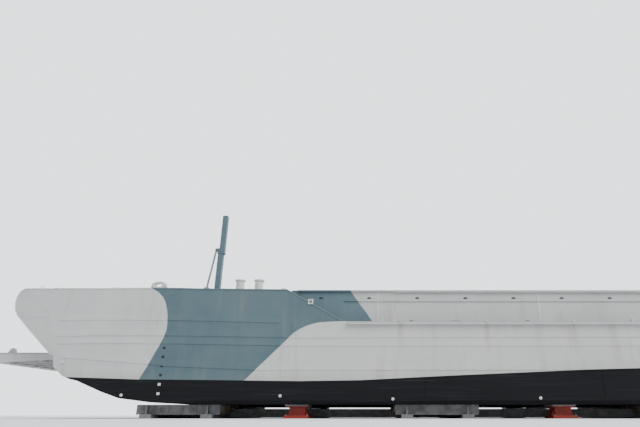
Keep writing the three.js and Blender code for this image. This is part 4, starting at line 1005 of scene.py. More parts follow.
def cheek_gear():
    rungs = []
    for name, s in SIDES:
        face = s * CHEEK_FACE
        seams = Shape()
        for u, low, high in CHEEK_UPRIGHTS:
            seams.upright(u, face, low, high, 0.009, 6)
        for z, first in ((2.62, -0.75), (3.36, -1.9)):
            seams.fore_aft(first, 2.55, face, z, 0.009, 6)
        seams.made(name + "_cheek_seams", "ship")
        cheek_fittings(s, face).made(name + "_cheek_fittings", "ship", bevel=0.003)
        rungs += [(1.75, face, z, INWARD[s]) for z in steps(2.1, 3.7, 0.3)]
    rung = Shape().pipe([(-0.18, -0.01, 0), (-0.18, 0.12, 0), (0.18, 0.12, 0), (0.18, -0.01, 0)], 0.014)
    repeat("cheek_rungs", rung, rungs, "ship")


def cheek_fittings(s, face):
    parts = Shape()
    doubler = ((0.2, 2.1), (0.95, 2.1), (1.05, 2.2), (1.05, 2.45), (0.2, 2.45))
    parts.plate([(u, face, z) for u, z in doubler], (0, -s * 0.014, 0))
    parts.box(-0.2, 2.5, face, face - s * 0.02, 3.86, 3.94)
    parts.ring((0.62, face - s * 0.06, 2.3), 0.07, 0.016, (0, 1, 0), 18, 6)
    parts.box(0.57, 0.67, face, face - s * 0.05, 2.34, 2.4)
    for u in (0.5, 1.1):
        parts.pipe([(u, face, 3.1), (u, face - s * 0.07, 3.1), (u, face - s * 0.07, 3.2)], 0.012, 6)
    parts.fore_aft(0.1, 2.3, face - s * 0.03, 3.72, 0.014)
    for u in steps(0.2, 2.3, 0.5):
        parts.box(u - 0.02, u + 0.02, face, face - s * 0.045, 3.7, 3.74)
    return parts


WINCH_U, WINCH_Y, WINCH_AXIS = 3.0, 2.95, 0.18  # place of a ramp winch, and its axis above the deck


def winch_wire(name, s):
    axis = bow_deck(WINCH_U) + WINCH_AXIS
    lay = [(0.112 + 0.014 * sin(pi * k / 2), -0.24 + 0.0146 * k) for k in range(33)]
    profile = [(0.08, -0.245), *lay, (0.08, 0.235)]
    wire = Shape().turned(profile, (WINCH_U, s * WINCH_Y, axis), (1, 0, 0), 24)
    wire.made(name + "_winch_wire", "steel", angle=70)


def ramp_winch(name, s):
    u, y, z = WINCH_U, s * WINCH_Y, bow_deck(WINCH_U)
    axis = z + WINCH_AXIS
    winch = Shape()
    for d in (-0.255, 0.24):
        winch.turned([(0.08, 0), (0.15, 0), (0.15, 0.015), (0.08, 0.015)], (u + d, y, axis), (1, 0, 0), 28)
    crank = ((0.38, 0, 0), (0.42, 0, 0), (0.42, 0.16, 0.12), (0.56, 0.16, 0.12))
    winch.pipe([(u + a, y + s * b, axis + c) for a, b, c in crank], 0.018)
    for t in turns_of(20):
        tooth = (u - 0.39, y + 0.14 * cos(t), axis + 0.14 * sin(t))
        winch.turned([(0.013, -0.025), (0.013, 0.025)], tooth, (1, 0, 0), 5)
    for a, b in corners(0.38, 0.23):
        winch.stud((u + a, y + b, z + 0.03), 0.022, 0.025)
    winch.turned([(0, 0), (0.03, 0), (0.03, 0.03), (0, 0.035)], (u - 0.42, y, axis), (-1, 0, 0), 10)
    handle = ((0.05, 0.2, 0.03), (0.05, 0.22, 0.3), (-0.02, 0.24, 0.36))
    winch.pipe([(u + a, y - s * b, z + c) for a, b, c in handle], 0.016)
    winch.made(name + "_ramp_winch_fittings", "grey", bevel=0.003)


def sheave_rims(name, s):
    u, y, z = -1.6, s * 2.34, 4.33
    sheave = Shape()
    for d in (-0.06, 0.045):
        sheave.turned([(0.11, 0), (0.15, 0), (0.15, 0.015), (0.11, 0.015)], (u, y + d, z), (0, 1, 0), 28)
    for way in (-1, 1):
        pin = [(0, 0), (0.035, 0), (0.035, 0.03), (0.02, 0.04), (0, 0.04)]
        sheave.turned(pin, (u, y + way * 0.09, z), (0, way, 0), 12)
    sheave.made(name + "_sheave_rims", "grey")


# Hold

COAMING_FACE = 3.5
STRAP_PITCH = 6.1
HOOK_PITCH = 1.525
BRACKETS = (11.5, 11.95, 20.6, 21.05, 29.8, 30.25, 36.0, 36.45)


def coaming_gear():
    """What the hold's coamings and the side decks carry"""
    for name, s in SIDES:
        coaming_fittings(s).made(name + "_coaming_fittings", "white", bevel=0.003)
        # painted shade: thin dark ovals laid on the face of the coamings stand in for the shade inside the
        # slots
        slot_shade = Shape()
        for u in steps(9.17, HOLD_END - 2, 1.83):
            y = s * COAMING_FACE
            hole = [(u + 0.05 + 0.09 * cos(t), y, 3.83 + 0.032 * sin(t)) for t in turns_of(14)]
            slot_shade.plate(hole, (0, s * 0.004, 0))
        slot_shade.made(name + "_coaming_slots", "dark")
        rail = Shape()
        y, z = s * 3.43, COAMING_TOP - 0.01
        rail.fore_aft(8.4, HOLD_END, y, z, 0.035)
        rail.box(10.2, HOLD_END, s * HOLD_FACE - 0.02, s * HOLD_FACE + 0.02, 2.7, 2.86)
        rail.box(10.2, HOLD_END, s * 3.36 - 0.05, s * 3.36 + 0.08, 1.352, 1.5)
        rail.made(name + "_hold_rails", "white", bevel=0.006)
        deck_main(s).made(name + "_deck_main", "white")
        side_deck_covers(s).made(name + "_side_deck_covers", "deck", bevel=0.003)


def coaming_fittings(s):
    face, out = s * COAMING_FACE, s * (COAMING_FACE + 0.09)
    parts = Shape()
    for u in steps(11.33, HOLD_END - 1, STRAP_PITCH):
        parts.box(u, u + 0.09, face, face + s * 0.012, DECK_Z + 0.01, COAMING_TOP - 0.06)
    for u in steps(12.2, HOLD_END - 0.4, HOOK_PITCH):
        parts.pipe([(u, face, 3.98), (u, out, 3.98), (u, out, 4.04)], 0.012, 6)
    parts.fore_aft(12.0, HOLD_END - 0.3, out, 4.045, 0.013)
    near, middle, far, z = s * 3.98, s * 4.07, s * 4.16, DECK_Z
    for u in BRACKETS:
        parts.box(u, u + 0.1, near, far, z, z + 0.13)
        parts.plate([(u + 0.05, near, z), (u + 0.05, far, z), (u + 0.05, middle, z + 0.3)], (0.02, 0, 0))
    return parts


def deck_main(s):
    y, z = s * 3.68, DECK_Z + 0.07
    outlet = [(0, 0), (0.05, 0), (0.05, 0.05), (0.04, 0.06), (0.04, 0.1), (0, 0.1)]
    main_line = Shape().fore_aft(11.0, HOLD_END - 0.2, y, z, 0.04, 10)
    for u in steps(11.0, HOLD_END - 0.3, HOOK_PITCH):
        main_line.pad(u, y, 0.02, 0.055, DECK_Z, z + 0.02)
    for u in steps(11.9, HOLD_END - 1, STRAP_PITCH):
        main_line.athwart(u, y, y + s * 0.16, z, 0.035, 10)
        main_line.turned(outlet, (u, y + s * 0.14, z), (0, s, 0), 14)
        main_line.ring((u + 0.2, y + s * 0.07, z), 0.05, 0.01, (0, 1, 0), 16, 6)
        main_line.athwart(u + 0.2, y, y + s * 0.07, z, 0.014, 6)
    return main_line


def side_deck_covers(s):
    covers = Shape()
    cap = [(0, 0), (0.11, 0), (0.11, 0.03), (0.08, 0.04), (0.08, 0.07), (0, 0.07)]
    for u in steps(12.6, HOLD_END - 1.5, 4.2):
        y = s * 4.25
        covers.turned(cap, (u, y, DECK_Z), sides=18)
        covers.pad(u, y, 0.05, 0.012, DECK_Z + 0.06, DECK_Z + 0.09)
    cover = [(0, 0), (0.26, 0), (0.26, 0.05), (0.24, 0.07), (0, 0.075)]
    for u in steps(14.2, HOLD_END - 1.5, 8.4):
        covers.turned(cover, (u, s * 4.05, DECK_Z), sides=28)
        covers.studs(u, s * 4.05, DECK_Z + 0.07, 0.2, 8, 0.018, 0.025)
    return covers


def hold_gear():
    """Wall frames, lashing pots, gutters and the coamings' rivets"""
    frame_piece = Shape().box(-0.035, 0.035, -0.02, 0.11, 0, 2.6)
    frame_piece.plate(((-0.035, -0.02, 0), (-0.035, 0.3, 0), (-0.035, 0.11, 0.25)), (0.02, 0, 0))
    inner = HOLD_FACE - 0.115
    frames = [(u, s * inner, 1.44, INWARD[s]) for _, s in SIDES for u in steps(10.9, HOLD_END - 0.6, 0.92)]
    repeat("hold_frames", frame_piece, frames, "ship")
    section = [(0.05, 0), (0.11, 0), (0.115, 0.012), (0.09, 0.02), (0.06, 0.02), (0.05, 0)]
    pot = Shape().turned(section, sides=20)
    pot.box(-0.07, 0.07, -0.012, 0.012, 0.004, 0.016)
    pot.box(-0.012, 0.012, -0.07, 0.07, 0.004, 0.016)
    rows = (-3.15, -2.1, -0.7, 0.7, 2.1, 3.15)
    pots = [(u, y, TANK_DECK_Z) for u in steps(5.2, HOLD_END - 0.6, 1.6) for y in rows]
    repeat("lashing_pots", pot, pots, "deck")
    gutters = Shape()
    z = TANK_DECK_Z
    for y in (-3.3, 3.3):
        gutters.box(5.6, HOLD_END - 0.1, y - 0.03, y + 0.03, z, z + 0.03)
    for u in steps(7.6, HOLD_END - 1, STRAP_PITCH):
        gutters.box(u, u + 0.05, -3.3, 3.3, z, z + 0.012)
    gutters.made("tank_deck_seams", "deck", bevel=0.003)
    heads = []
    for name, s in SIDES:
        for u in steps(11.36, HOLD_END - 1, STRAP_PITCH):
            heads += [(u, s * (COAMING_FACE + 0.005), z, name) for z in steps(2.9, 3.98, 0.09)]
    repeat("coaming_rivets", bolt_head(0.012), heads, "white")


# Ramp

RAMP_HINGE_U, RAMP_HINGE_Z = -0.55, 1.74
RAMP_EDGE = (  # forward of the hinge, down from the top
    (0.16, 0.21), (1.0, 0.24), (2.93, 0.355), (3.17, 0.145), (3.17, 0.03), (0.16, 0.01),
)
RAMP_LUG = ((2.3, 0), (2.7, 0), (2.6, 0.2), (2.4, 0.2))  # forward of the hinge, up from the top
RAMP_TOE = ((2.99, 0.345), (3.165, 0.18), (3.188, 0.2), (3.013, 0.367))  # forward, down from the top


def ramp_gear():
    """What the bow ramp and its sill carry"""
    top = RAMP_TOP

    def ahead(f, y, z):
        return RAMP_HINGE_U - f, y, z

    parts = Shape()
    for s in (-1, 1):
        parts.plate([ahead(f, s * 2.1, top - down) for f, down in RAMP_EDGE], (0, s * 0.012, 0))
        parts.plate([ahead(f, s * 1.98, top + up) for f, up in RAMP_LUG], (0, -s * 0.04, 0))
        parts.ring(ahead(2.5, s * 1.96, top + 0.12), 0.09, 0.02, (1, 0, 0), 18, 8)
        parts.pipe([ahead(f, s * 2.04, top + 0.01) for f in (0.3, 3.1)], 0.028)
    parts.made("ramp_edges", "ship", "ramp", bevel=0.004)
    pads = Shape()
    for y in (-1.8, -1.08, -0.36, 0.36, 1.08, 1.8):
        pads.loft([[ahead(f, y + w, top - down) for f, down in RAMP_TOE] for w in (-0.12, 0.12)])
    pads.made("ramp_toes", "grey", "ramp", bevel=0.006)
    bolts = [(*ahead(f, s * 2.112, top - 0.075), side) for side, s in SIDES for f in steps(0.35, 3.0, 0.19)]
    repeat("ramp_bolts", bolt_head(0.014), bolts, "ship", "ramp")
    sill = Shape()
    for s in (-1, 1):
        pin = [(0, 0), (0.07, 0), (0.07, 0.03), (0.05, 0.05), (0, 0.05)]
        sill.turned(pin, ahead(0, s * 2.085, RAMP_HINGE_Z), (0, s, 0))
    sill.box(-0.42, 0.45, -2.1, 2.1, SILL_TOP, SILL_TOP + 0.012)
    for y in steps(-1.95, 1.95, 0.3):
        sill.box(-0.38, 0.4, y, y + 0.04, SILL_TOP + 0.01, SILL_TOP + 0.03)
    sill.made("sill_treads", "deck", bevel=0.003)


# Deckhouse

HOUSE_FRONT, HOUSE_BACK, HOUSE_SIDE = fwd(14.8), fwd(8.6), 3.2
WHEEL_FRONT, WHEEL_BACK, WHEEL_SIDE = fwd(14.4), fwd(11.8), 1.6
HOUSE_DOOR = fwd(11.6)
LEAF = 0.014 + 0.05  # gap and thickness of a door or lid
RAIL_HEIGHTS = (0.5, 1.0)


def port_lights():
    z = DECK_Z + SEAT + 1.45
    places = [(HOUSE_FRONT + d, s * HOUSE_SIDE, z, side) for side, s in SIDES for d in (0.7, 1.9, 4.8)]
    places += [(HOUSE_BACK, y, z, "aft") for y in (-2.3, -0.9, 0.9)]
    places += [(HOUSE_FRONT, y, z, "ahead") for y in (-2.3, -0.9, 0.9, 2.3)]
    section = [(0.15, 0), (0.15, 0.03), (0.17, 0.045), (0.205, 0.04), (0.215, 0.0)]
    rim = Shape().turned(section, axis=(0, 1, 0), sides=28)
    rim.box(-0.04, 0.04, 0.0, 0.05, 0.19, 0.25)
    rim.turned([(0, 0), (0.02, 0), (0.02, 0.05), (0, 0.055)], (0, 0.02, -0.2), (0, 1, 0), 8)
    repeat("port_light_rims", rim, places, "brass")
    section = [(0, -0.012), (0.168, -0.012), (0.168, 0.004), (0, 0.004)]
    repeat("port_light_glass", Shape().turned(section, axis=(0, 1, 0), sides=24), places, "glass")


def deckhouse_trim():
    """Foot plates, door frames, hand rails and stiffeners"""
    trim, u, front = Shape(), HOUSE_DOOR, HOUSE_FRONT
    for s in (-1, 1):
        wall, rail = s * HOUSE_SIDE, s * (HOUSE_SIDE + 0.09)
        sunk, proud, drip = s * (HOUSE_SIDE - 0.01), s * (HOUSE_SIDE + 0.012), s * (HOUSE_SIDE + 0.14)
        trim.box(fwd(14.9), fwd(8.45), wall - s * 0.02, wall + s * 0.04, DECK_Z, DECK_Z + 0.12)
        for a, b, low, high in ((-0.03, 0.01, 0.2, 2.0), (0.69, 0.73, 0.2, 2.0), (-0.03, 0.73, 1.95, 2.02)):
            trim.box(u + a, u + b, sunk, proud, DECK_Z + low, DECK_Z + high)
        strip = [(u - 0.2, wall, 4.95), (u + 0.9, wall, 4.95), (u + 0.9, drip, 4.9), (u - 0.2, drip, 4.9)]
        trim.plate(strip, (0, 0, 0.015))
        for a, b in ((14.7, 12.2), (10.6, 8.7)):
            trim.fore_aft(fwd(a), fwd(b), rail, 3.75, 0.018)
        for a in (14.6, 13.4, 12.3, 10.5, 9.6, 8.8):
            trim.athwart(fwd(a), wall, rail, 3.75, 0.012, 6)
    for y in (-3.12, -1.6, 0.0, 1.6, 3.12):
        trim.box(front - 0.03, front, y - 0.03, y + 0.03, DECK_Z + 0.1, 5.08)
    trim.box(front - 0.02, front, -HOUSE_SIDE, HOUSE_SIDE, 4.62, 4.68)
    trim.made("deckhouse_trim", "ship", bevel=0.003)


def roof_rails():
    roof, top, front = Shape(), 6.2, fwd(14.78)
    for s in (-1, 1):
        edge, y = s * 3.26, s * 3.24
        roof.fore_aft(fwd(14.85), fwd(8.5), edge, ROOF_Z + 0.01, 0.025)
        for a in (14.7, 12.9, 11.1, 9.2):
            roof.upright(fwd(a), y, ROOF_Z, top, 0.022)
        for h in RAIL_HEIGHTS:
            roof.fore_aft(fwd(14.7), fwd(9.2), y, ROOF_Z + h, 0.016)
    for y in (-2.1, 2.1):
        roof.upright(front, y, ROOF_Z, top, 0.022)
    for h in RAIL_HEIGHTS:
        line = ((fwd(14.7), -3.24), (front, -3.15), (front, 3.15), (fwd(14.7), 3.24))
        roof.pipe([(u, y, ROOF_Z + h) for u, y in line], 0.016)
    roof.made("deckhouse_roof_rails", "white")


LOCKERS = (  # forward and after end, inner and outer side, foot, height
    (fwd(9.0), fwd(8.55), 2.7, 3.1, ROOF_Z, 0.42),
    (fwd(3.6), fwd(2.7), 2.7, 3.3, DECK_Z, 0.54),
)


def locker_lids():
    lids = Shape()
    for s in (-1, 1):
        for u0, u1, inner, outer, z, up in LOCKERS:
            top, middle, y0, y1 = z + up, (u0 + u1) / 2, s * inner, s * outer
            for out, low, high in ((0.03, top, top + 0.012), (0.012, z, z + 0.05)):
                lids.box(u0 - out, u1 + out, y0 - s * out, y1 + s * out, low, high)
            for u in (u0 + (u1 - u0) * 0.25, u0 + (u1 - u0) * 0.75):
                lids.box(u - 0.025, u + 0.025, y0 - s * 0.045, y0 - s * 0.01, top - 0.1, top + 0.02)
            lids.box(middle - 0.03, middle + 0.03, y1 + s * 0.01, y1 + s * 0.04, top - 0.14, top + 0.02)
    lids.made("locker_lids", "white", bevel=0.004)


MUSHROOM = (  # a smooth head's radius and height, as shares of its size
    (0.47, 1.4), (1, 1.48), (1.02, 1.6), (1.0, 1.78), (0.86, 1.96), (0.6, 2.12), (0.3, 2.2), (0, 2.22),
)
MUSHROOMS = (  # u, y, foot and size
    (fwd(14.5), 2.4, ROOF_Z, 0.2), (fwd(9.0), 1.4, ROOF_Z, 0.2), (fwd(5.9), 1.5, DECK_Z, 0.24),
    (fwd(7.6), 3.6, DECK_Z, 0.24),
)


def mushroom_heads():
    vents = Shape()
    for s in (-1, 1):
        for u, out, z, r in MUSHROOMS:
            y = s * out
            profile = [(0, 0), (r * 0.62, 0), (r * 0.62, 0.02), (r * 0.47, 0.035)]
            vents.turned(profile + [(r * a, r * b) for a, b in MUSHROOM], (u, y, z), sides=32)
            vents.studs(u, y, z + 0.02, r * 0.54, 6, 0.014, 0.015)
            vents.ring((u, y, z + r * 2.2 + 0.035), 0.045, 0.01, (0, 1, 0), 18, 6)
    vents.made("mushroom_heads", "white")


def door_dogs():
    for name, s in SIDES:
        dogs, u, y = Shape(), HOUSE_DOOR + 0.55, s * (HOUSE_SIDE + LEAF)
        dogs.pipe([(u, y, 3.9), (u, y + s * 0.05, 3.9), (u - 0.13, y + s * 0.06, 3.88)], 0.014)
        for a, z in ((-0.47, 3.1), (-0.47, 4.6), (0.13, 3.1), (0.13, 4.6), (-0.19, 3.03), (-0.19, 4.72)):
            dogs.turned([(0.03, 0), (0.03, 0.025), (0.012, 0.04), (0, 0.045)], (u + a, y, z), (0, s, 0), 10)
        edge = ((-0.55, 3.05), (0.1, 3.05), (0.1, 4.7), (-0.55, 4.7))
        dogs.pipe([(u + a, y + s * 0.006, z) for a, z in edge], 0.012, 6, True)
        dogs.made(name + "_door_dogs", "grey", name + "_deckhouse_door")
    dogs, u = Shape(), WHEEL_BACK + LEAF
    dogs.pipe([(u, -0.3, 6.1), (u + 0.05, -0.3, 6.1), (u + 0.06, -0.17, 6.08)], 0.014)
    dogs.turned([(0.1, 0), (0.1, 0.02), (0.14, 0.03), (0.15, 0)], (u, -0.02, 6.62), (1, 0, 0), 24)
    dogs.turned([(0, 0), (0.1, 0), (0.1, 0.006), (0, 0.006)], (u, -0.02, 6.62), (1, 0, 0), 24)
    edge = ((-0.37, 5.32), (0.37, 5.32), (0.37, 6.98), (-0.37, 6.98))
    dogs.pipe([(u + 0.004, y, z) for y, z in edge], 0.012, 6, True)
    dogs.made("wheelhouse_door_dogs", "grey", "wheelhouse_door")


# Walls

SEAM_Z = 4.66


def wall_seams():
    seams, r, low, top = Shape(), 0.008, DECK_Z + 0.1, 5.1
    for s in (-1, 1):
        y, inner = s * HOUSE_SIDE, s * WHEEL_SIDE
        for d in (1.3, 2.75, 4.35, 5.5):
            seams.upright(HOUSE_FRONT + d, y, low, top, r, 6)
        for a, b in ((HOUSE_FRONT, fwd(11.65)), (fwd(10.85), HOUSE_BACK)):
            seams.fore_aft(a, b, y, SEAM_Z, r, 6)
        seams.upright(fwd(13.2), inner, ROOF_Z, 7.2, r, 6)
        seams.fore_aft(WHEEL_FRONT, WHEEL_BACK, inner, 6.98, r, 6)
    for y in (-1.6, 0.0, 1.6):
        seams.upright(HOUSE_BACK, y, low, top, r, 6)
    seams.athwart(HOUSE_BACK, -HOUSE_SIDE, HOUSE_SIDE, SEAM_Z, r, 6)
    seams.athwart(WHEEL_FRONT, -WHEEL_SIDE, WHEEL_SIDE, 5.98, r, 6)
    seams.made("house_wall_seams", "ship")


def wall_lamps():
    places = both(fwd(11.95), HOUSE_SIDE, 4.42)
    places += both(fwd(13.0), WHEEL_SIDE, 6.72)
    places += [(HOUSE_BACK, y, 4.5, "aft") for y in (0.35, -2.85)] + [(WHEEL_BACK, -1.15, 6.6, "aft")]
    foot = [(0, 0), (0.1, 0), (0.1, 0.02), (0.085, 0.03), (0.085, 0.05), (0, 0.05)]
    lamp = Shape().turned(foot, axis=(0, 1, 0), sides=20)
    lamp.ring((0, 0.075, 0), 0.078, 0.006, (0, 1, 0), 18, 5)
    for t in turns_of(8)[:4]:
        a, b = 0.082 * cos(t), 0.082 * sin(t)
        hoop = [(a, 0.045, b), (a * 0.85, 0.1, b * 0.85), (-a * 0.85, 0.1, -b * 0.85), (-a, 0.045, -b)]
        lamp.pipe(hoop, 0.005, 5)
    repeat("wall_lamp_cages", lamp, places, "white")
    dome = [(0.062, 0.05), (0.066, 0.06), (0.055, 0.085), (0.03, 0.095), (0, 0.097)]
    repeat("wall_lamp_glass", Shape().turned(dome, axis=(0, 1, 0), sides=18), places, "glass")


def wall_boxes():
    """Louvred vents and junction boxes"""
    louvre = Shape().box(-0.24, 0.24, 0, 0.02, -0.17, 0.17)
    for k in range(6):
        z = -0.13 + k * 0.052
        slat = ((0.02, z), (0.055, z - 0.03), (0.06, z - 0.025), (0.02, z + 0.012))
        louvre.plate([(-0.21, y, h) for y, h in slat], (0.42, 0, 0))
    places = both(HOUSE_FRONT + 1.3, HOUSE_SIDE, 4.86)
    places += both(HOUSE_FRONT + 5.5, HOUSE_SIDE, 4.0)
    for y in (-1.6, 1.6):
        places += [(HOUSE_BACK, y, 4.86, "aft"), (HOUSE_FRONT, y, 4.87, "ahead")]
    repeat("wall_louvres", louvre, places, "ship")
    box = Shape().box(-0.07, 0.07, 0, 0.06, -0.09, 0.09)
    box.box(-0.08, 0.08, 0.06, 0.072, -0.1, 0.1)
    box.turned([(0.02, 0), (0.02, 0.04), (0, 0.045)], (0, 0.03, -0.09), (0, 0, -1), 10)
    places = both(fwd(12.15), HOUSE_SIDE, 4.86)
    places += [(HOUSE_BACK, 0.35, 4.8, "aft"), (fwd(13.0), WHEEL_SIDE, 6.98, "port")]
    repeat("junction_boxes", box, places, "grey")


def conduits():
    """Pipes for wires, and the wheelhouse's hand rails"""
    lines, z, back = Shape(), ROOF_Z + 0.9, HOUSE_BACK + 0.016
    for s in (-1, 1):
        y, wall, rail = s * (HOUSE_SIDE + 0.016), s * WHEEL_SIDE, s * (WHEEL_SIDE + 0.06)
        lines.pipe([(HOUSE_FRONT + 1.7, y, 5.02), (fwd(12.15), y, 5.02), (fwd(12.15), y, 4.9)], 0.014)
        lines.pipe([(fwd(12.08), y, 4.86), (fwd(11.95), y, 4.84), (fwd(11.95), y, 4.45)], 0.012)
        lines.fore_aft(fwd(14.3), fwd(11.9), rail, z, 0.016)
        for u in (fwd(14.3), fwd(13.1), fwd(11.9)):
            lines.athwart(u, wall, rail, z, 0.011, 6)
        for u in steps(HOUSE_FRONT + 1.9, fwd(12.3), 0.5):
            lines.box(u - 0.015, u + 0.015, s * HOUSE_SIDE, s * (HOUSE_SIDE + 0.036), 5.0, 5.04)
    across_back = ((-2.85, 4.55), (-2.85, 5.0), (0.35, 5.0), (0.35, 4.85))
    lines.pipe([(back, y, z) for y, z in across_back], 0.013)
    for y in steps(-2.6, 0.2, 0.55):
        lines.box(HOUSE_BACK, HOUSE_BACK + 0.034, y - 0.015, y + 0.015, 4.98, 5.02)
    lines.made("house_conduits", "ship")


# Wheelhouse and open bridge

WHEEL_FLOOR = 5.1808
BRIDGE_FLOOR = 7.371
PEDESTAL = [(0, 0), (0.1, 0), (0.1, 0.03), (0.06, 0.8), (0.13, 0.86), (0.13, 1.05), (0, 1.08)]


def wheelhouse_windows():
    panes, frames = Shape(), Shape()
    z, h = WHEEL_FLOOR + 1.425, Vector((0, 0, 0.225))
    holes = [((WHEEL_FRONT, y, z), (0, 0.24, 0), (1, 0, 0)) for y in (-1.05, -0.35, 0.35, 1.05)]
    holes += [((WHEEL_FRONT + 0.65, s * WHEEL_SIDE, z), (0.3, 0, 0), (0, -s, 0)) for s in (-1, 1)]
    for centre, half, inward in holes:
        c, a, n = Vector(centre), Vector(half), Vector(inward)
        panes.plate([c + a * i + h * j + n * 0.035 for i, j in corners(1, 1)], n * 0.01)
        frames.pipe([c + a * i + h * j - n * 0.012 for i, j in corners(1.08, 1.08)], 0.022, 6, True)
        eave = c + h * 1.22 - n * 0.004
        drop = n * 0.07 + h * 0.06
        wide = a * 1.15
        frames.plate([eave - wide, eave + wide, eave + wide - drop, eave - wide - drop], (0, 0, 0.01))
    panes.made("wheelhouse_glass", "glass")
    frames.made("wheelhouse_frames", "white")


def steering_gear():
    gear, u, z = Shape(), WHEEL_FRONT + 0.75, WHEEL_FLOOR
    stand = [(0, 0), (0.16, 0), (0.14, 0.06), (0.08, 0.12), (0.07, 0.95), (0.1, 1.0), (0, 1.02)]
    gear.turned(stand, (u, 0, z), sides=20)
    gear.ring((u + 0.13, 0, z + 1.0), 0.33, 0.022, (1, 0, 0), 32, 8)
    for t in turns_of(6):
        spoke = (u + 0.13, 0.42 * cos(t), z + 1.0 + 0.42 * sin(t))
        gear.pipe([(u + 0.13, 0, z + 1.0), spoke], 0.014, 6)
    for y in (0.75, -0.75):
        gear.turned(PEDESTAL, (u, y, z), sides=18)
    gear.box(u + 1.0, u + 1.65, -1.5, -0.9, z + 0.75, z + 0.8)
    gear.box(u + 1.05, u + 1.1, -1.45, -1.4, z, z + 0.75)
    gear.box(u + 1.55, u + 1.6, -0.98, -0.93, z, z + 0.75)
    gear.made("steering_gear", "grey", bevel=0.003)


def bridge_screen():
    a, b, c, top = fwd(14.7), fwd(11.72), 1.9, WHEEL_ROOF_Z + 1.1
    outline = [(b, -c), (a + 0.8, -c), (a, -c + 0.8), (a, c - 0.8), (a + 0.8, c), (b, c)]
    screen = Shape().pipe([(u, y * 0.985, top) for u, y in outline], 0.035)
    screen.pipe([(u, y * 1.005, WHEEL_ROOF_Z + 0.55) for u, y in outline], 0.018, 6)
    for (u0, y0), (u1, y1), n in zip(outline, outline[1:], (4, 2, 4, 2, 4)):
        for k in range(n + 1):
            u, y = u0 + (u1 - u0) * k / n + 0.07, (y0 + (y1 - y0) * k / n) * 0.955
            screen.upright(u, y, WHEEL_ROOF_Z, top - 0.02, 0.02, 6)
    screen.made("bridge_screen_trim", "white")


def bridge_instruments():
    """The compass with its spheres, two sights and two voice pipes"""
    stand, sights, floor, u = Shape(), Shape(), BRIDGE_FLOOR, WHEEL_FRONT + 0.3
    bell = [(0.036, -0.05), (0.04, 0), (0.07, 0.07), (0.075, 0.08), (0.062, 0.08), (0.03, 0.01)]
    stand.ring((u, 0, floor + 0.03), 0.2, 0.014, turns=28, sides=6)
    for s in (-1, 1):
        stand.athwart(u, s * 0.1, s * 0.24, floor + 0.8, 0.018, 6)
        stand.ball((u, s * 0.25, floor + 0.83), 0.085, 16)
        sight, z = u - 0.05, floor + 1.05
        sights.ring((sight, s, z), 0.125, 0.012, turns=24, sides=6)
        for y in (s - 0.12, s + 0.12):
            sights.upright(sight, y, z, z + 0.09, 0.008, 6)
        sights.turned(bell, (u - 0.02, s * 0.55, floor + 0.94), (-0.5, 0, 0.6), 20)
        for h in (0.25, 0.6):
            y = s * 0.55
            stand.box(u + 0.05, u + 0.11, y - 0.05, y + 0.05, floor + h, floor + h + 0.03)
    sights.turned([(0.17, 0), (0.175, 0.02), (0.165, 0.03)], (u, 0, floor + 0.9), sides=32)
    sights.turned([(0.15, 0), (0.13, 0.06), (0.08, 0.1), (0, 0.115)], (u, 0, floor + 0.93), sides=28)
    stand.made("compass_fittings", "grey")
    sights.made("bridge_brasswork", "brass")


def signal_lamps():
    lamps, glass = Shape(), Shape()
    u, z = fwd(12.2), WHEEL_ROOF_Z + 1.32
    rim = [(0.135, 0), (0.165, 0), (0.17, 0.02), (0.17, 0.05), (0.135, 0.05), (0.135, 0)]
    yoke = ((-0.175, 0), (-0.2, -0.12), (-0.08, -0.23), (0.08, -0.23), (0.2, -0.12), (0.175, 0))
    for s in (-1, 1):
        y = s * 1.82
        lamps.turned(rim, (u - 0.155, y, z), (-1, 0, 0), 28)
        lamps.turned([(0.16, 0), (0.13, 0.04), (0.05, 0.06), (0, 0.06)], (u + 0.15, y, z), (1, 0, 0), 24)
        for h in (-0.08, -0.03, 0.02, 0.07):
            reach = sqrt(0.13 ** 2 - h * h)
            lamps.box(u - 0.2, u - 0.19, y - reach, y + reach, z + h - 0.012, z + h + 0.012)
        lamps.pipe([(u, y + a, z + b) for a, b in yoke], 0.018)
        lamps.pipe([(u + a, y, z + b) for a, b in ((0.2, -0.02), (0.27, -0.02), (0.27, -0.14))], 0.012, 6)
        glass.turned([(0, 0), (0.135, 0), (0.12, 0.012), (0, 0.025)], (u - 0.152, y, z), (-1, 0, 0), 24)
    lamps.made("signal_lamp_fittings", "white")
    glass.made("signal_glass", "glass")


def bridge_grating():
    floor, front, back = BRIDGE_FLOOR, WHEEL_FRONT + 0.6, WHEEL_BACK - 0.13
    slat = Shape().box(-0.035, 0.035, -1.34, 1.34, 0.012, 0.03)
    slats = [(u, 0, floor) for u in steps(front + 0.06, back - 0.05, 0.12)]
    repeat("bridge_grating", slat, slats, "wood", unevenness=0.002, seed=4)
    bearers = Shape()
    for y in (-1.2, -0.4, 0.4, 1.2):
        bearers.box(front, back, y - 0.03, y + 0.03, floor, floor + 0.014)
    for y in (-1.365, 1.365):
        bearers.box(front, back, y - 0.025, y + 0.025, floor, floor + 0.034)
    bearers.made("grating_bearers", "wood", bevel=0.003)


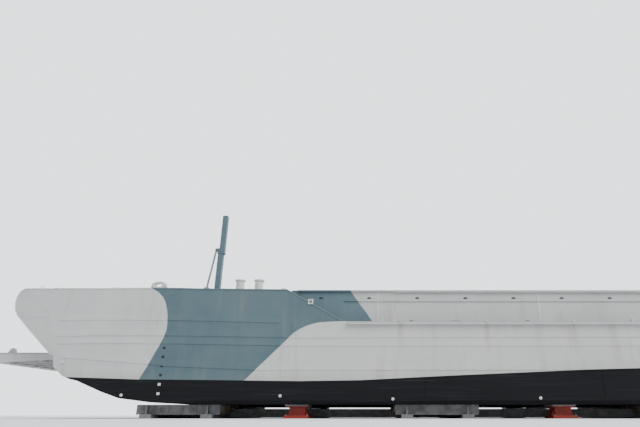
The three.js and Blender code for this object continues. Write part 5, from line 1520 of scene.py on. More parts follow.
def side_lights():
    caps, u, z = Shape(), WHEEL_FRONT + 1.01, WHEEL_ROOF_Z
    lens = [(0.071, 0.03), (0.078, 0.06), (0.078, 0.1), (0.071, 0.13)]
    cap = [(0, 0.12), (0.082, 0.12), (0.082, 0.15), (0.06, 0.185), (0.025, 0.2), (0, 0.2)]
    foot = [(0, 0), (0.082, 0), (0.082, 0.03), (0, 0.03)]
    for (name, s), color in zip(SIDES, ("red_glass", "green_glass")):
        y, near, far = s * 2.05, s * 1.97, s * 2.1
        Shape().turned(lens, (u, y, z), sides=28).made(name + "_side_light", color)
        caps.turned(cap, (u, y, z), sides=28)
        caps.turned(foot, (u, y, z), sides=28)
        for d in (-0.4, -0.1):
            caps.plate([(u + d, near, z), (u + d, far, z), (u + d, near, z + 0.2)], (0.012, 0, 0))
    caps.made("side_light_caps", "brass")


def bridge_stowage():
    """The flag locker and the life rings"""
    z = WHEEL_ROOF_Z
    locker = Shape().box(fwd(11.95), fwd(11.75), -1.7, -0.9, z, z + 0.55)
    for i in range(4):
        locker.box(fwd(11.97), fwd(11.95), -1.66 + i * 0.19, -1.51 + i * 0.19, z + 0.06, z + 0.5)
    locker.made("flag_locker", "wood", bevel=0.004)
    section = [(0.066, -0.05), (0.066, 0.05), (0.05, 0.05), (0.05, -0.05), (0.066, -0.05)]
    for name, s in SIDES:
        u, y, middle = 42.85, s * 1.985, z + 0.55
        Shape().ring((u, y, middle), 0.3, 0.06, (0, 1, 0), 32, 10).made(name + "_life_ring", "canvas")
        bands = Shape()
        for t in (0.4, 1.97, 3.54, 5.11):
            a, b = 0.3 * cos(t), 0.3 * sin(t)
            bands.turned(section, (u + a, y, middle + b), (-b, 0, a), 14)
        bands.made(name + "_life_ring_bands", "red")


# Mast and funnel

MAST_U = fwd(10.65)
HALYARDS = (0.7, 1.3, 1.9)  # their places along each yard arm


def pin_rail(s, d):
    """Where a halyard comes down, from its place on the yard"""
    return MAST_U + 0.02, s * (0.3 + d * 0.13)


def mast_wires():
    wires, peak = Shape(), Vector((MAST_U, 0, 11.9))
    turnbuckle = [(0.02, 0), (0.045, 0.03), (0.045, 0.3), (0.02, 0.33)]
    for s in (-1, 1):
        for u, y in ((HOUSE_FRONT + 3.04, 3.05), (HOUSE_BACK - 0.07, 1.35)):
            low, high = Vector((u, s * y, ROOF_Z + 0.03)), peak + Vector((0, s * 0.03, 0))
            way = (high - low).normalized()
            wires.turned(turnbuckle, low + way * 0.22, way, 10)
            wires.turned([(0.02, 0), (0.032, 0.01), (0.032, 0.12), (0.02, 0.13)], low + way * 0.7, way, 8)
            wires.ring(low + way * 0.1, 0.05, 0.014, (0, 1, 0), 16, 6)
            wires.turned([(0.02, 0), (0.032, 0.01), (0.032, 0.14), (0.02, 0.15)], high - way * 0.4, way, 8)
        for d in HALYARDS:
            wires.pipe([(MAST_U, s * d, 10.55), (*pin_rail(s, d), ROOF_Z + 0.9)], 0.007, 5)
    wires.made("mast_rigging", "steel")


def mast_fittings():
    """The pin rail, blocks, bands, steps and lamps of the mast"""
    u, foot = MAST_U, ROOF_Z
    parts, lenses = Shape(), Shape()
    parts.box(u - 0.03, u + 0.03, -0.6, 0.6, foot + 0.87, foot + 0.91)
    for s in (-1, 1):
        for d in HALYARDS:
            block = [(0, -0.02), (0.05, -0.02), (0.055, 0), (0.05, 0.02), (0, 0.02)]
            parts.turned(block, (u, s * d, 10.5), (1, 0, 0), 14)
            parts.box(u - 0.02, u + 0.02, s * d - 0.012, s * d + 0.012, 10.5, 10.58)
            pin = pin_rail(s, d)
            parts.pipe([(*pin, foot + 0.78), (*pin, foot + 0.98)], 0.014, 6)
        parts.turned([(0.045, 0), (0.06, 0.02), (0.06, 0.08), (0, 0.1)], (u, s * 2.1, 10.6), (0, s, 0), 12)
    for z in (6.2, 7.4, 8.7, 9.9, 10.6, 11.5, 11.88):
        outer = 0.15 - 0.08 * (z - foot) / 7.02
        inner = outer - 0.02
        band = [(inner, -0.05), (outer, -0.05), (outer, 0.05), (inner, 0.05), (inner, -0.05)]
        parts.turned(band, (u, 0, z), sides=18)
    for i, z in enumerate(steps(6.4, 10.2, 0.33)):
        s = 1 if i % 2 else -1
        parts.pipe([(u, 0, z), (u - 0.02, s * 0.2, z), (u - 0.02, s * 0.22, z + 0.05)], 0.012, 6)
    for lamp_u, z in ((u - 0.22, 9.33), (u, 12.18)):
        lenses.turned([(0.1, 0.04), (0.108, 0.06), (0.108, 0.13), (0.1, 0.15)], (lamp_u, 0, z), sides=24)
        for h in (0.0, 0.145):
            cap = [(0, h), (0.112, h), (0.112, h + 0.04), (0.08, h + 0.052), (0, h + 0.052)]
            parts.turned(cap, (lamp_u, 0, z), sides=24)
        for a, b, _ in polar(lamp_u, 0, 0.114, 4, 0.4):
            parts.upright(a, b, z + 0.02, z + 0.17, 0.006, 5)
    lenses.made("mast_lamp_glass", "glass")
    parts.made("mast_fittings", "white")


def ensign_staff():
    staff = [(0, 0), (0.03, 0), (0.026, 2.4), (0.045, 2.43), (0.045, 2.47), (0, 2.5)]
    lean, u = (0.12, 0, 1), TRANSOM - 0.4
    pole = Shape().turned(staff, (u, 0, DECK_Z + 0.05), lean, 12)
    pole.turned([(0.06, 0), (0.06, 0.25), (0.035, 0.26), (0.035, 0)], (u, 0, DECK_Z), lean, 14)
    pole.made("ensign_staff", "wood")


def funnel_gear():
    """Bands, rungs, siren, clips and the exhausts inside"""
    u, long, wide = fwd(9.5), 0.7, 0.55
    bands = Shape()
    for z in (5.9, 6.8, 7.55):
        section = [(1, -0.02), (1.03, -0.02), (1.03, 0.02), (1, 0.02), (1, -0.02)]
        bands.turned(section, (u, 0, z), sides=36, squash=(wide, long))
    bands.made("funnel_bands", "blue")
    parts, pipe_u = Shape(), u - 0.82
    for z in steps(5.5, 7.9, 0.3):
        parts.rung(u + long - 0.02, 0.12, 0, z)
    siren = [(0.05, 0), (0.09, 0.08), (0.09, 0.24), (0.07, 0.26), (0.06, 0.24), (0.03, 0.1), (0.03, 0.05)]
    parts.turned(siren, (pipe_u, 0.2, 8.14), sides=20)
    for z in (0.02, 0.7, 2.2):
        clip = [(0.05, 0), (0.068, 0), (0.068, 0.05), (0.05, 0.05), (0.05, 0)]
        parts.turned(clip, (pipe_u, 0.2, ROOF_Z + z), sides=18)
    parts.made("funnel_rungs", "white")
    inside = Shape()
    for d in (-0.28, 0.28):
        inside.turned([(0.16, 0), (0.16, 0.72), (0.13, 0.72), (0.13, 0)], (u + d, 0, 7.32), sides=20)
    for y in steps(-0.4, 0.4, 0.16):
        reach = 0.6 * sqrt(max(0.05, 1 - (y / 0.5) ** 2))
        inside.fore_aft(u - reach, u + reach, y, 8.03, 0.012, 6)
    inside.made("funnel_pipes", "rust")


# Splinter tubs and rafts

TUB_U, TUB_Y, TUB_R = fwd(10.2), 2.35, 1.2


def tub_gear():
    """What each round splinter tub carries"""
    ribs, boards = [], Shape()
    for name, s in SIDES:
        u, y, r = TUB_U, s * TUB_Y, TUB_R
        rim = Shape().ring((u, y, ROOF_Z + 1.15), r - 0.015, 0.048, turns=56)
        rim.studs(u, y, ROOF_Z + 0.06, r + 0.012, 28, 0.014, 0.015, 0.11)
        for h in (0.25, 0.5, 0.75, 1.0):
            rim.rung(u + r - 0.01, 0.1, y, ROOF_Z + h)
        rim.made(name + "_tub_rim", "white")
        tub_pedestal(u, y).made(name + "_tub_pedestal", "grey", bevel=0.004)
        for a, b, t in polar(u, y, r - 0.005, 14):
            ribs.append((a, b, ROOF_Z + 0.05, (0, 0, t - pi / 2)))
        for d in steps(-0.95, 0.95, 0.19):
            reach = sqrt(1.1 ** 2 - d * d) - 0.03
            boards.box(u + d - 0.075, u + d + 0.075, y - reach, y + reach, ROOF_Z + 0.06, ROOF_Z + 0.085)
    repeat("tub_ribs", Shape().box(-0.02, 0.02, 0, 0.055, 0, 1.06), ribs, "white")
    boards.made("tub_boards", "wood", bevel=0.004)


def tub_pedestal(u, y):
    profile = [
        (0, 0), (0.34, 0), (0.34, 0.04), (0.24, 0.05), (0.17, 0.2), (0.15, 0.62), (0.21, 0.66), (0.21, 0.72),
        (0, 0.73),
    ]
    stub = Shape().turned(profile, (u, y, ROOF_Z + 0.06), sides=28)
    stub.studs(u, y, ROOF_Z + 0.1, 0.29, 8, 0.025, 0.03)
    for a, b, t in polar(u, y, 1.09, 7, 0.5):
        ahead, aside = Vector((-cos(t), sin(t), 0)), Vector((-sin(t), -cos(t), 0))
        foot = Vector((a, b, ROOF_Z + 0.55)) - ahead * 0.01
        stub.plate([foot + ahead * i + aside * j for i, j in corners(0.04, 0.14)], (0, 0, 0.31))
    return stub


RAFT_U, RAFT_Y, RAFT_Z = fwd(13.2), 2.88, ROOF_Z + 0.9


def raft_gear():
    u, z = RAFT_U, RAFT_Z
    for name, s in SIDES:
        y = s * RAFT_Y
        body = Shape().ring((u, y, z), 0.5, 0.155, (0, 1, 0), 44, 14, (1.5, 1))
        body.box(u - 0.5, u + 0.5, s * 2.75, s * 3.0, ROOF_Z, ROOF_Z + 0.27)
        body.made(name + "_float_raft", "canvas", replaces=(name + "_life_raft",))
        raft_net(s, y).made(name + "_raft_net", "rope")
        straps = Shape()
        for d in (-0.36, 0.36):
            a, b = u + d - 0.03, u + d + 0.03
            straps.box(a, b, y - 0.17, y + 0.17, z - 0.62, z - 0.6)
            for edge in (y - 0.17, y + 0.17):
                straps.box(a, b, edge - 0.006, edge + 0.006, ROOF_Z, z - 0.35)
        straps.made(name + "_raft_straps", "steel")


def raft_net(s, y):
    u, z, net, loops = RAFT_U, RAFT_Z, Shape(), 14
    for d in steps(-0.45, 0.45, 0.15):
        h = 0.36 * sqrt(1 - (d / 0.58) ** 2)
        net.upright(u + d, y, z - h, z + h, 0.012, 5)
    for d in steps(-0.24, 0.24, 0.12):
        h = 0.55 * sqrt(1 - (d / 0.38) ** 2)
        net.fore_aft(u - h, u + h, y + 0.01, z + d, 0.012, 5)
    for k in range(loops):
        line = []
        for i in range(7):
            t = 2 * pi * (k + i / 6) / loops
            out = 1.36 - 0.05 * sin(pi * i / 6)
            line.append((u + 0.75 * cos(t) * (out - 0.1), y + s * 0.11, z + 0.5 * sin(t) * out))
        net.pipe(line, 0.011, 5)
    return net


# Quarterdeck

COWL = (  # a cowl's bend: forward, up and radius, first outside and then back down its mouth
    (0, 0, 0.17), (0, 0.5, 0.17), (0, 0.74, 0.17), (0.02, 0.86, 0.172), (0.06, 0.95, 0.176),
    (0.12, 1.03, 0.184), (0.19, 1.09, 0.198), (0.25, 1.13, 0.22), (0.3, 1.165, 0.255), (0.345, 1.195, 0.295),
    (0.35, 1.2, 0.283), (0.3, 1.17, 0.245), (0.24, 1.13, 0.205), (0.17, 1.08, 0.17), (0.1, 1.02, 0.14),
)


def cowl(u, y):
    """A ventilator that turns forward and is hollow at its mouth"""
    z = DECK_Z
    line = [(u - ahead, y, z + up) for ahead, up, _ in COWL]
    shape = Shape().pipe(line, [r for *_, r in COWL], 28)
    shape.ring((u - 0.345, y, z + 1.195), 0.288, 0.016, (0.87, 0, -0.5), 36, 8)
    shape.turned([(0.17, 0), (0.26, 0), (0.26, 0.03), (0.21, 0.05), (0.17, 0.08)], (u, y, z), sides=28)
    shape.turned([(0.17, 0.5), (0.192, 0.51), (0.192, 0.56), (0.17, 0.57)], (u, y, z), sides=28)
    shape.studs(u, y, z + 0.03, 0.235, 8, 0.014, 0.015)
    for side in (-1, 1):
        handle = ((0.03, 0.16, 0.8), (0.03, 0.25, 0.8), (0.16, 0.27, 0.88), (0.16, 0.2, 0.92))
        shape.pipe([(u - ahead, y + side * out, z + up) for ahead, out, up in handle], 0.012, 6)
    return shape


def stern_moorings():
    """Cowls, bollards and roller fairleads of the quarterdeck's sides"""
    z = DECK_Z + SEAT
    roller = [
        (0, 0), (0.06, 0), (0.06, 0.04), (0.045, 0.06), (0.045, 0.2), (0.065, 0.22), (0.065, 0.26), (0, 0.27),
    ]
    for name, s in SIDES:
        cowl(fwd(7.3), s * 1.9).made(name + "_cowl", "white", replaces=(name + "_cowl_vent",))
        posts = bollards((fwd(5.1), fwd(4.4)), s * 3.9, z)
        posts.made(name + "_stern_castings", "white", bevel=0.004, replaces=(name + "_stern_bollards",))
        u, y = fwd(2.1), s * 4.05
        lead = Shape().pad(u, y, 0.35, 0.1, z, z + 0.03)
        for d in (-0.2, 0.2):
            lead.turned(roller, (u + d, y, z + 0.02), sides=18)
            horn = ((d * 1.7, 0), (d * 1.7, 0.24), (d * 1.2, 0.32))
            lead.pipe([(u + a, y, z + up) for a, up in horn], 0.04, 10)
        lead.made(name + "_stern_fairlead", "white", bevel=0.003)


WINCH_STERN_U, DRUM_Z = fwd(3.2), DECK_Z + SEAT + 0.62
ANCHOR_U = fwd(1.9)


def drum_gear():
    """The rope on the stern winch's drum, with the drum's bolts and rims"""
    u, turns = WINCH_STERN_U, 26
    profile = [(0.28, -0.56)]
    for i in range(turns):
        a = -0.55 + 1.1 * i / turns
        profile += [(0.375 + 0.018 * sin(pi * k / 4), a + 1.1 * k / turns / 4) for k in range(4)]
    profile += [(0.28, 0.56), (0.28, -0.56)]
    rope = Shape().turned(profile, (u, 0, DRUM_Z), (0, 1, 0), 36)
    rope.made("winch_rope", "rope", "winch_drum", angle=70)
    drum = Shape()
    for side in (-1, 1):
        y = side * 0.62
        for t in turns_of(8):
            spot = (u + 0.42 * cos(t), y - side * 0.008, DRUM_Z + 0.42 * sin(t))
            drum.turned([(0.02, 0), (0.02, 0.012), (0, 0.016)], spot, (0, side, 0), 6)
        drum.ring((u, y * 0.975, DRUM_Z), 0.475, 0.016, (0, 1, 0), 36, 6)
    drum.made("drum_bolts", "steel", "winch_drum")


def stern_winch():
    """The winch's motor, brake lever, hand wheel and bolts"""
    u, z, y = WINCH_STERN_U, DECK_Z + SEAT, -0.85
    motor = [(0, 0), (0.3, 0), (0.34, 0.05), (0.34, 0.48), (0.3, 0.55), (0, 0.56)]
    winch = Shape().turned(motor, (u, 0.9, z + 0.42), (0, 1, 0), 28)
    for i in range(9):
        fin = [(0.34, 0), (0.36, 0), (0.36, 0.018), (0.34, 0.018)]
        winch.turned(fin, (u, 0.96 + i * 0.05, z + 0.42), (0, 1, 0), 28)
    winch.pipe([(u - 0.5, y, z + 0.1), (u - 0.5, y, z + 0.95), (u - 0.56, y, z + 1.05)], 0.02)
    winch.ball((u - 0.56, y, z + 1.07), 0.04)
    hub = (u + 0.5, y, z + 0.62)
    winch.upright(u + 0.5, y, z + 0.1, z + 0.6, 0.025)
    winch.ring(hub, 0.15, 0.016, turns=24, sides=6)
    for t in turns_of(4):
        winch.pipe([hub, (u + 0.5 + 0.15 * cos(t), y + 0.15 * sin(t), z + 0.62)], 0.01, 5)
    for bolt_y in (-0.76, 0.66):
        for a in (-0.3, 0.3):
            winch.stud((u + a, bolt_y, z + 0.08), 0.02, 0.02)
    winch.made("winch_fittings", "grey", bevel=0.004)


def anchor_gear():
    """The anchor's shackle, palms and wire, and its frame's rollers"""
    anchor, u, z = Shape(), ANCHOR_U, DECK_Z + SEAT
    anchor.ring((u + 1.1, 0, z + 0.79), 0.075, 0.02, (0, 1, 0), 20, 8)
    for y in (-0.3, 0.3):
        palm = [(0.02, y, 0.1), (0.3, y - 0.1, 0.2), (0.78, y * 0.7, 0.44), (0.3, y + 0.12, 0.24)]
        anchor.plate([(u + a, b, z + c) for a, b, c in palm], (-0.02, 0, 0.03))
    band = [(0.06, 0), (0.08, 0.01), (0.08, 0.08), (0.06, 0.09)]
    anchor.turned(band, (u + 0.5, 0, z + 0.34), (0.75, 0, 0.55), 14)
    anchor.made("anchor_shackle", "steel", bevel=0.004)
    wire = [(WINCH_STERN_U + 0.02, 0, DRUM_Z + 0.385)]
    wire += [(u + a, 0, z + up) for a, up in ((1.22, 1.1), (1.3, 1.0), (1.16, 0.83))]
    Shape().pipe(wire, 0.016).made("anchor_wire", "steel")
    rollers = Shape()
    for y in (-0.85, 0.82):
        rollers.turned([(0, 0), (0.1, 0), (0.1, 0.03), (0, 0.03)], (u + 1.22, y, z + 1.0), (0, 1, 0), 18)
    for y in (-0.6, -0.2, 0.2, 0.6):
        ridge = [(0.08, -0.012), (0.1, 0), (0.08, 0.012)]
        rollers.turned(ridge, (u + 1.22, y, z + 1.0), (0, 1, 0), 20)
    rollers.made("anchor_roller_rings", "grey")


def hatch_gear():
    """Clips and seal of the after hatch, and handles of the lids"""
    hatch, front, back = Shape(), fwd(5.6), fwd(4.6)
    for s in (-1, 1):
        for w in (0.25, 0.75):
            u, top = front + w, DECK_Z + 0.42
            hatch.box(u - 0.02, u + 0.02, s * 0.5, s * 0.55, DECK_Z + 0.1, top)
    middle, long = (front + back) / 2, (back - front) / 2 + 0.004
    hatch.pipe([(middle + a, b, DECK_Z + 0.42) for a, b in corners(long, 0.504)], 0.014, 6, True)
    hatch.made("hatch_dogs", "white", bevel=0.003)
    u, top = back - 0.12, DECK_Z + SEAT + 0.45 + LEAF
    grip = ((-0.12, 0), (-0.12, 0.06), (0.12, 0.06), (0.12, 0))
    lid = Shape().pipe([(u, y, top + up) for y, up in grip], 0.014)
    for y in (-0.3, 0.0, 0.3):
        lid.box(front + 0.08, back - 0.2, y - 0.015, y + 0.015, top - 0.002, top + 0.018)
    lid.made("aft_lid_handles", "white", "aft_hatch_lid", bevel=0.003)
    for name, s in SIDES:
        y, top, grip = s * 3.36, 4.16 + LEAF, ((1.2, 0), (1.2, 0.05), (1.4, 0.05), (1.4, 0))
        lid = Shape().pipe([(u, y, top + up) for u, up in grip], 0.013)
        for u in (1.05, 1.3, 1.55):
            lid.box(u - 0.012, u + 0.012, s * 2.95, s * 3.3, top - 0.002, top + 0.014)
        lid.made(name + "_bow_lid_handles", "white", name + "_bow_hatch_lid", bevel=0.003)


def skylight_gear():
    lids, panes = Shape(), Shape()
    front, back, long = fwd(8.0), fwd(6.3), Vector((0.46, 0, 0))
    places = [(s, front + d) for s in (-1, 1) for d in (0.08, 0.62, 1.16)]
    for s, u in places:
        low, high = Vector((u, s * 0.72, DECK_Z + 0.475)), Vector((u, s * 0.16, DECK_Z + 0.83))
        out, slope = Vector((0, s * 0.012, 0.02)), (0, s * 0.54, 0.84)
        outline = (low, high, high + long, low + long)
        lids.loft([[p + out * share for p in outline] for share in (0.1, 1.4)])
        lids.pipe([high + Vector((d, 0, 0.03)) for d in (0.06, 0.4)], 0.018)
        lids.ring((low + high + long) / 2 + out * 1.3, 0.13, 0.018, slope, 24, 6)
        glass = [(0, 0), (0.12, 0), (0.12, 0.008), (0, 0.008)]
        panes.turned(glass, (u + 0.23, s * 0.454, DECK_Z + 0.6745), slope, 24)
    for y in (-0.76, 0.76):
        lids.fore_aft(front, back, y, DECK_Z + 0.02, 0.022, 6)
    lids.made("skylight_lids", "white", bevel=0.003)
    panes.made("skylight_glass", "glass")


RAIL_LINE = ((6.5, 4.35), (4.7, 4.35), (2.9, 4.24), (1.2, 3.98), (0.5, 3.62), (0.25, 3.05), (0.25, 1.4))
MANHOLES = ((fwd(8.0), 2.9), (fwd(8.0), -2.9), (fwd(3.9), 2.0), (fwd(3.9), -2.3))


def quarterdeck_fittings():
    """Feet of the rail, manhole covers and the deck's seams"""
    feet = [(fwd(d), s * y, DECK_Z) for s in (-1, 1) for d, y in RAIL_LINE]
    section = [(0, 0), (0.075, 0), (0.075, 0.012), (0.04, 0.02), (0.032, 0.07), (0, 0.07)]
    repeat("rail_feet", Shape().turned(section, sides=14), feet, "white")
    covers = Shape()
    for u, y in MANHOLES:
        covers.turned([(0, 0), (0.3, 0), (0.3, 0.04), (0.27, 0.06), (0, 0.065)], (u, y, DECK_Z), sides=32)
        covers.studs(u, y, DECK_Z + 0.06, 0.235, 10, 0.02, 0.025)
    covers.made("manhole_covers", "deck")
    seams, low, high = Shape(), DECK_Z - 0.004, DECK_Z + 0.006
    for u in (fwd(8.2), fwd(5.95), fwd(3.7), fwd(2.05)):
        seams.box(u, u + 0.03, -3.9, 3.9, low, high)
    for y in (-2.4, 2.4):
        seams.box(fwd(8.2), fwd(0.6), y, y + 0.03, low, high)
    seams.made("quarterdeck_seams", "deck")


# Under water

SCREW_U, SCREW_Z, SCREW_R, HUB_R = fwd(4.15), 0.72, 0.54, 0.13
SHAFT_Y = 2.0
RUDDER_U = fwd(2.75)
BOSS = (
    (0, -0.2), (0.1, -0.2), (0.125, -0.15), (0.13, 0), (0.12, 0.14), (0.1, 0.2), (0.07, 0.28), (0.035, 0.34),
    (0, 0.355),
)


def blade_point(share, across_share, side):
    """A blade's point along its length and across its width"""
    radius = HUB_R * 0.7 + (SCREW_R - HUB_R * 0.7) * share
    round_tip = sqrt(max(0.0, 1 - share ** 6))
    wide = 0.30 * sin(pi * min(1, 0.16 + 0.84 * share) ** 0.85) * round_tip + 0.015
    pitch = atan2(0.42, radius * 2.2)
    a = wide * (across_share - 0.5)
    return radius, a * cos(pitch), a * sin(pitch) * side


def blade_ring(share, side, spin, y):
    """A blade's section, out along its back and home along its face"""
    ring = []
    for lift, order in ((1, range(9)), (-1, range(8, -1, -1))):
        for k in order:
            radius, tangent, ahead = blade_point(share, k / 8, side)
            thick = 0.018 * (1 - 0.75 * share) * sin(pi * (k + 0.35) / 8.7) * lift
            t = spin + (tangent + thick * 0.6) / radius
            ring.append((SCREW_U + ahead + thick * 0.8, y + radius * cos(t), SCREW_Z + radius * sin(t)))
    return ring


def running_gear():
    for name, s in SIDES:
        y = s * SHAFT_Y
        screw = Shape().turned(BOSS, (SCREW_U, y, SCREW_Z), (1, 0, 0), 28)
        for spin in turns_of(3):
            screw.loft([blade_ring(i / 12, s, spin + 0.5, y) for i in range(13)])
        body = name + "_propeller"
        screw.made(name + "_screw", "bronze", body, replaces=(body,), angle=50)
        shaft_bearings(y).made(name + "_shaft_bearings", "bottom", bevel=0.003)
        fin, body = rudder_blade(y), name + "_rudder"
        fin.made(body + "_blade", "bottom", body, replaces=(body,), angle=40)
        carrier = Shape()
        profile = [(0.095, -0.1), (0.2, -0.1), (0.2, -0.04), (0.16, 0), (0.095, 0)]
        carrier.turned(profile, (RUDDER_U, y, 1.53), sides=24)
        for a, b, _ in polar(RUDDER_U, y, 0.175, 8):
            carrier.turned([(0.016, 0), (0.016, -0.02), (0, -0.026)], (a, b, 1.43), sides=6)
        carrier.made(name + "_rudder_carrier", "bottom")


def shaft_bearings(y):
    z = SCREW_Z
    shaft = Shape().fore_aft(fwd(7.4), fwd(4.37), y, z, 0.06, 16)
    shaft.turned([(0.14, 0), (0.155, 0.02), (0.155, 0.08), (0.14, 0.1)], (fwd(4.9), y, z), (1, 0, 0), 24)
    shaft.turned([(0.14, 0), (0.155, 0.02), (0.155, 0.06), (0.12, 0.1)], (fwd(4.6), y, z), (1, 0, 0), 24)
    for d in (6.9, 6.3, 5.7):
        shaft.turned([(0.09, 0), (0.115, 0.01), (0.115, 0.09), (0.09, 0.1)], (fwd(d), y, z), (1, 0, 0), 20)
    return shaft


def half_thickness(share):
    """Half of a streamlined rudder's thickness at a share of its chord"""
    curve = 0.2969 * sqrt(share) - 0.126 * share - 0.3516 * share ** 2
    curve += 0.2843 * share ** 3 - 0.1015 * share ** 4
    return 0.2964 * curve


def rudder_blade(y):
    """A streamlined rudder with its stock and two straps"""
    u, rings = RUDDER_U, []
    for i in range(9):
        inset = 0.05 * max(0, 1 - min(i, 8 - i) / 1.5)
        ring = []
        for t in turns_of(24):
            share = 0.5 - 0.5 * cos(t)
            half = half_thickness(share) * (1 if t <= pi else -1)
            ring.append((u - 0.32 + inset + (1.18 - 2 * inset) * share, y + half, 0.16 + 1.2 * i / 8))
        rings.append(ring)
    blade = Shape().loft(rings)
    blade.upright(u, y, 0.3, 1.9, 0.07, 20)
    for z in (0.45, 1.05):
        blade.box(u - 0.12, u + 0.45, y - 0.072, y + 0.072, z, z + 0.05)
    return blade


def stern_zincs():
    zincs = Shape()
    for y in (-0.07, 0.04):
        for d in (9.6, 8.4, 7.2, 6.0):
            zincs.box(fwd(d), fwd(d) + 0.35, y, y + 0.03, 0.32, 0.42)
    for d in (5.6, 3.4):
        z = along(STERN_RISE, fwd(d))
        for y in (-0.9, 0.75):
            zincs.box(fwd(d), fwd(d) + 0.3, y, y + 0.12, z - 0.06, z + 0.02)
    zincs.made("stern_zincs", "steel", bevel=0.01)


# Cradle

GRILLAGES = (3.0, 12.0, 21.0, 30.0, 38.6)  # forward ends
STOOLS = (8.6, 17.8, 27.1, 35.8)  # middles


def grillage_gear():
    """Plates, eyes, packing timber and bolts of the grillages"""
    plates, packing, heads = Shape(), Shape(), []
    for u in GRILLAGES:
        for d in (0.2, 2.3):
            for y in (-4.06, 4.06):
                plates.box(u + d + 0.17, u + d + 0.23, y, y * 0.955, -0.31, -0.03)
            heads += [(u + d + a, y, -0.312) for y in (-4.0, 4.0) for a in (0.06, 0.34)]
        for s in (-1, 1):
            y = s * 3.9
            for low, high in ((-0.07, -0.03), (-0.33, -0.28)):
                plates.box(u + 0.02, u + 2.88, y - 0.006, y + 0.006, low, high)
            for d in (0.62, 1.1, 1.58, 2.06):
                plates.box(u + d, u + d + 0.03, y - 0.005, y + 0.028, -0.32, -0.04)
            for d in (0.9, 1.9):
                plates.ring((u + d, s * 3.92, -0.18), 0.07, 0.016, (0, 1, 0), 18, 6)
        for y in steps(-3.55, 3.2, 0.96):
            for a, b in ((-0.05, -0.002), (2.902, 2.95)):
                packing.box(u + a, u + b, y, y + 0.5, -0.24, -0.02)
    plates.made("grillage_plates", "grey", bevel=0.004)
    packing.made("packing_timber", "wood", bevel=0.008)
    repeat("grillage_bolts", flat_bolt(0.022), heads, "steel")


def stool_gear():
    """Gussets, plates, caps and bolts of the red stools"""
    red, caps = Shape(), Shape()
    for u in STOOLS:
        for y in (-3.65, 3.65):
            for a, b in corners(0.28, 0.2):
                side = copysign(0.12, a)
                gusset = [(u + a, y + b, -0.35), (u + a + side, y + b, -0.35), (u + a, y + b, -0.12)]
                red.plate(gusset, (0, 0.025, 0))
            red.pad(u, y, 0.3, 0.37, -0.26, -0.235)
            caps.pad(u, y, 0.4, 0.52, -0.05, -0.006)
            for a, b in corners(0.36, 0.5):
                caps.stud((u + a, y + b, -0.35), 0.028, 0.03)
    red.made("stool_gussets", "red", bevel=0.004)
    caps.made("stool_caps", "grey", bevel=0.006)


# Stage

SKY, SKY_BEHIND = 3.1, 1.5
SUN, SUN_ANGLE, SUN_FROM = 2.6, 45, (-0.6, 0.5, 0.62)
FLOOR_REACH = 400


def add_camera(scene):
    view = scene.craft_view
    camera = bpy.data.objects.new("camera", bpy.data.cameras.new("camera"))
    scene.collection.objects.link(camera)
    camera.location = view.place
    camera.rotation_euler = (pi / 2 + view.pitch, 0, pi)
    camera.data.lens = view.lens
    camera.data.shift_x = view.shift
    camera.data.clip_end = 500
    scene.camera = camera


def add_floor(scene):
    floor = bpy.data.meshes.new("floor")
    floor.from_pydata([(x, y, 0) for x, y in corners(FLOOR_REACH, FLOOR_REACH)], [], [(0, 1, 2, 3)])
    ground = bpy.data.objects.new("floor", floor)
    scene.collection.objects.link(ground)
    floor.materials.append(Mix("floor").finish((0.62, 0.63, 0.64), 0.9))


def add_light(scene):
    """An overcast sky, brightest behind the craft, and a soft sun"""
    world = bpy.data.worlds.new("sky")
    world.use_nodes = True
    nodes, links = world.node_tree.nodes, world.node_tree.links
    coords, split, fade = (nodes.new("ShaderNode" + kind) for kind in ("TexCoord", "SeparateXYZ", "MapRange"))
    fade.interpolation_type = "SMOOTHSTEP"
    for socket, value in zip(list(fade.inputs)[1:5], (-0.35, 0.5, SKY, SKY_BEHIND)):
        socket.default_value = value
    links.new(coords.outputs["Generated"], split.inputs[0])
    links.new(split.outputs[1], fade.inputs[0])
    links.new(fade.outputs[0], nodes["Background"].inputs[1])
    nodes["Background"].inputs[0].default_value = (0.71, 0.73, 0.76, 1)
    scene.world = world

    sun = bpy.data.lights.new("sun", "SUN")
    sun.energy = SUN
    sun.angle = radians(SUN_ANGLE)
    lamp = bpy.data.objects.new("sun", sun)
    lamp.rotation_euler = Vector(SUN_FROM).to_track_quat("Z", "Y").to_euler()
    scene.collection.objects.link(lamp)


def paint_nodes(scene):
    make_materials(scene.craft_paint)
    for part in frame["record"]["subparts"]:
        finish = NODE_MATERIAL.get(part["node"], SLOT_MATERIAL[part["material_slot"]])
        materials = frame["nodes"][part["node"]].data.materials
        materials.clear()
        materials.append(MATERIALS[finish])


# Operators, panel and registration


class Maker:
    """Runs its makers: those under settings read the scene's settings"""

    settings = ()
    pieces = ()

    def execute(self, context):
        for make in self.settings:
            make(context.scene)
        for make in self.pieces:
            make()
        return {"FINISHED"}


class CRAFT_OT_stage(Maker, bpy.types.Operator):
    """Pale floor, soft light and the photograph's camera"""

    bl_idname = "craft.stage"
    bl_label = "Stage"
    settings = (add_camera, add_floor, add_light)


class CRAFT_OT_paint(Maker, bpy.types.Operator):
    """Gives every node of the frame its finish"""

    bl_idname = "craft.paint"
    bl_label = "Paint"
    settings = (paint_nodes,)


class CRAFT_OT_hull(Maker, bpy.types.Operator):
    """Plating, welds and marks of the hull"""

    bl_idname = "craft.hull"
    bl_label = "Hull"
    pieces = (shell, side_marks, bottom_welds)


class CRAFT_OT_bow(Maker, bpy.types.Operator):
    """Fittings of the bow deck, the ramp and the hold"""

    bl_idname = "craft.bow"
    bl_label = "Bow and hold"
    pieces = (bow_gear, cheek_gear, coaming_gear, hold_gear, ramp_gear)


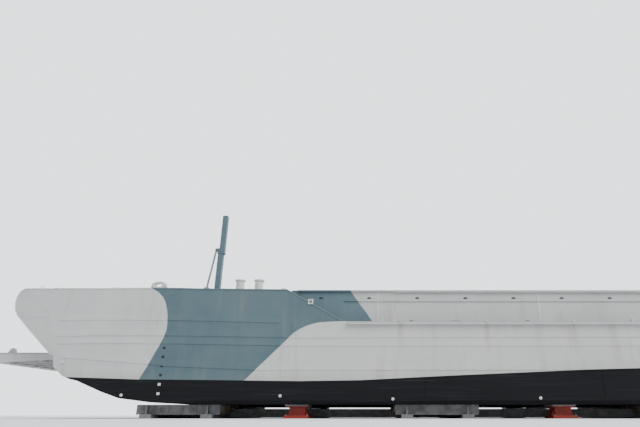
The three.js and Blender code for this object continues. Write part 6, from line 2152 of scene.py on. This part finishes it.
class CRAFT_OT_house(Maker, bpy.types.Operator):
    """Deckhouse, bridge, mast, funnel, tubs and rafts"""

    bl_idname = "craft.house"
    bl_label = "Upper works"
    pieces = (
        port_lights, deckhouse_trim, roof_rails, locker_lids, mushroom_heads, door_dogs,
        wall_seams, wall_lamps, wall_boxes, conduits,
        wheelhouse_windows, steering_gear, bridge_screen, bridge_instruments, signal_lamps, bridge_grating,
        side_lights, bridge_stowage,
        mast_wires, mast_fittings, ensign_staff, funnel_gear, tub_gear, raft_gear,
    )


class CRAFT_OT_stern(Maker, bpy.types.Operator):
    """Quarterdeck and running gear"""

    bl_idname = "craft.stern"
    bl_label = "Stern"
    pieces = (
        stern_moorings, drum_gear, stern_winch, anchor_gear, hatch_gear, skylight_gear, quarterdeck_fittings,
        running_gear, stern_zincs,
    )


class CRAFT_OT_cradle(Maker, bpy.types.Operator):
    """Plates, bolts and timber of the cradle"""

    bl_idname = "craft.cradle"
    bl_label = "Cradle"
    pieces = (grillage_gear, stool_gear)


class CRAFT_PT_panel(bpy.types.Panel):
    """The craft's colours and camera, and a button for each group of pieces"""

    bl_label = "Landing craft"
    bl_idname = "CRAFT_PT_panel"
    bl_space_type = "VIEW_3D"
    bl_region_type = "UI"
    bl_category = "Landing craft"

    def draw(self, context):
        for group in (context.scene.craft_paint, context.scene.craft_view):
            for key in group.bl_rna.properties.keys():
                if key not in ("rna_type", "name"):
                    self.layout.prop(group, key)
        for maker in MAKERS:
            self.layout.operator(maker.bl_idname)


MAKERS = (
    CRAFT_OT_stage, CRAFT_OT_paint, CRAFT_OT_hull, CRAFT_OT_bow, CRAFT_OT_house, CRAFT_OT_stern,
    CRAFT_OT_cradle,
)
CLASSES = (CraftPaint, CraftView, *MAKERS, CRAFT_PT_panel)


def register():
    for made in CLASSES:
        bpy.utils.register_class(made)
    bpy.types.Scene.craft_paint = bpy.props.PointerProperty(type=CraftPaint)
    bpy.types.Scene.craft_view = bpy.props.PointerProperty(type=CraftView)


def unregister():
    del bpy.types.Scene.craft_view
    del bpy.types.Scene.craft_paint
    for made in reversed(CLASSES):
        bpy.utils.unregister_class(made)


def main():
    register()
    for maker in MAKERS:
        group, name = maker.bl_idname.split(".")
        getattr(getattr(bpy.ops, group), name)()


if __name__ == "__main__":
    main()
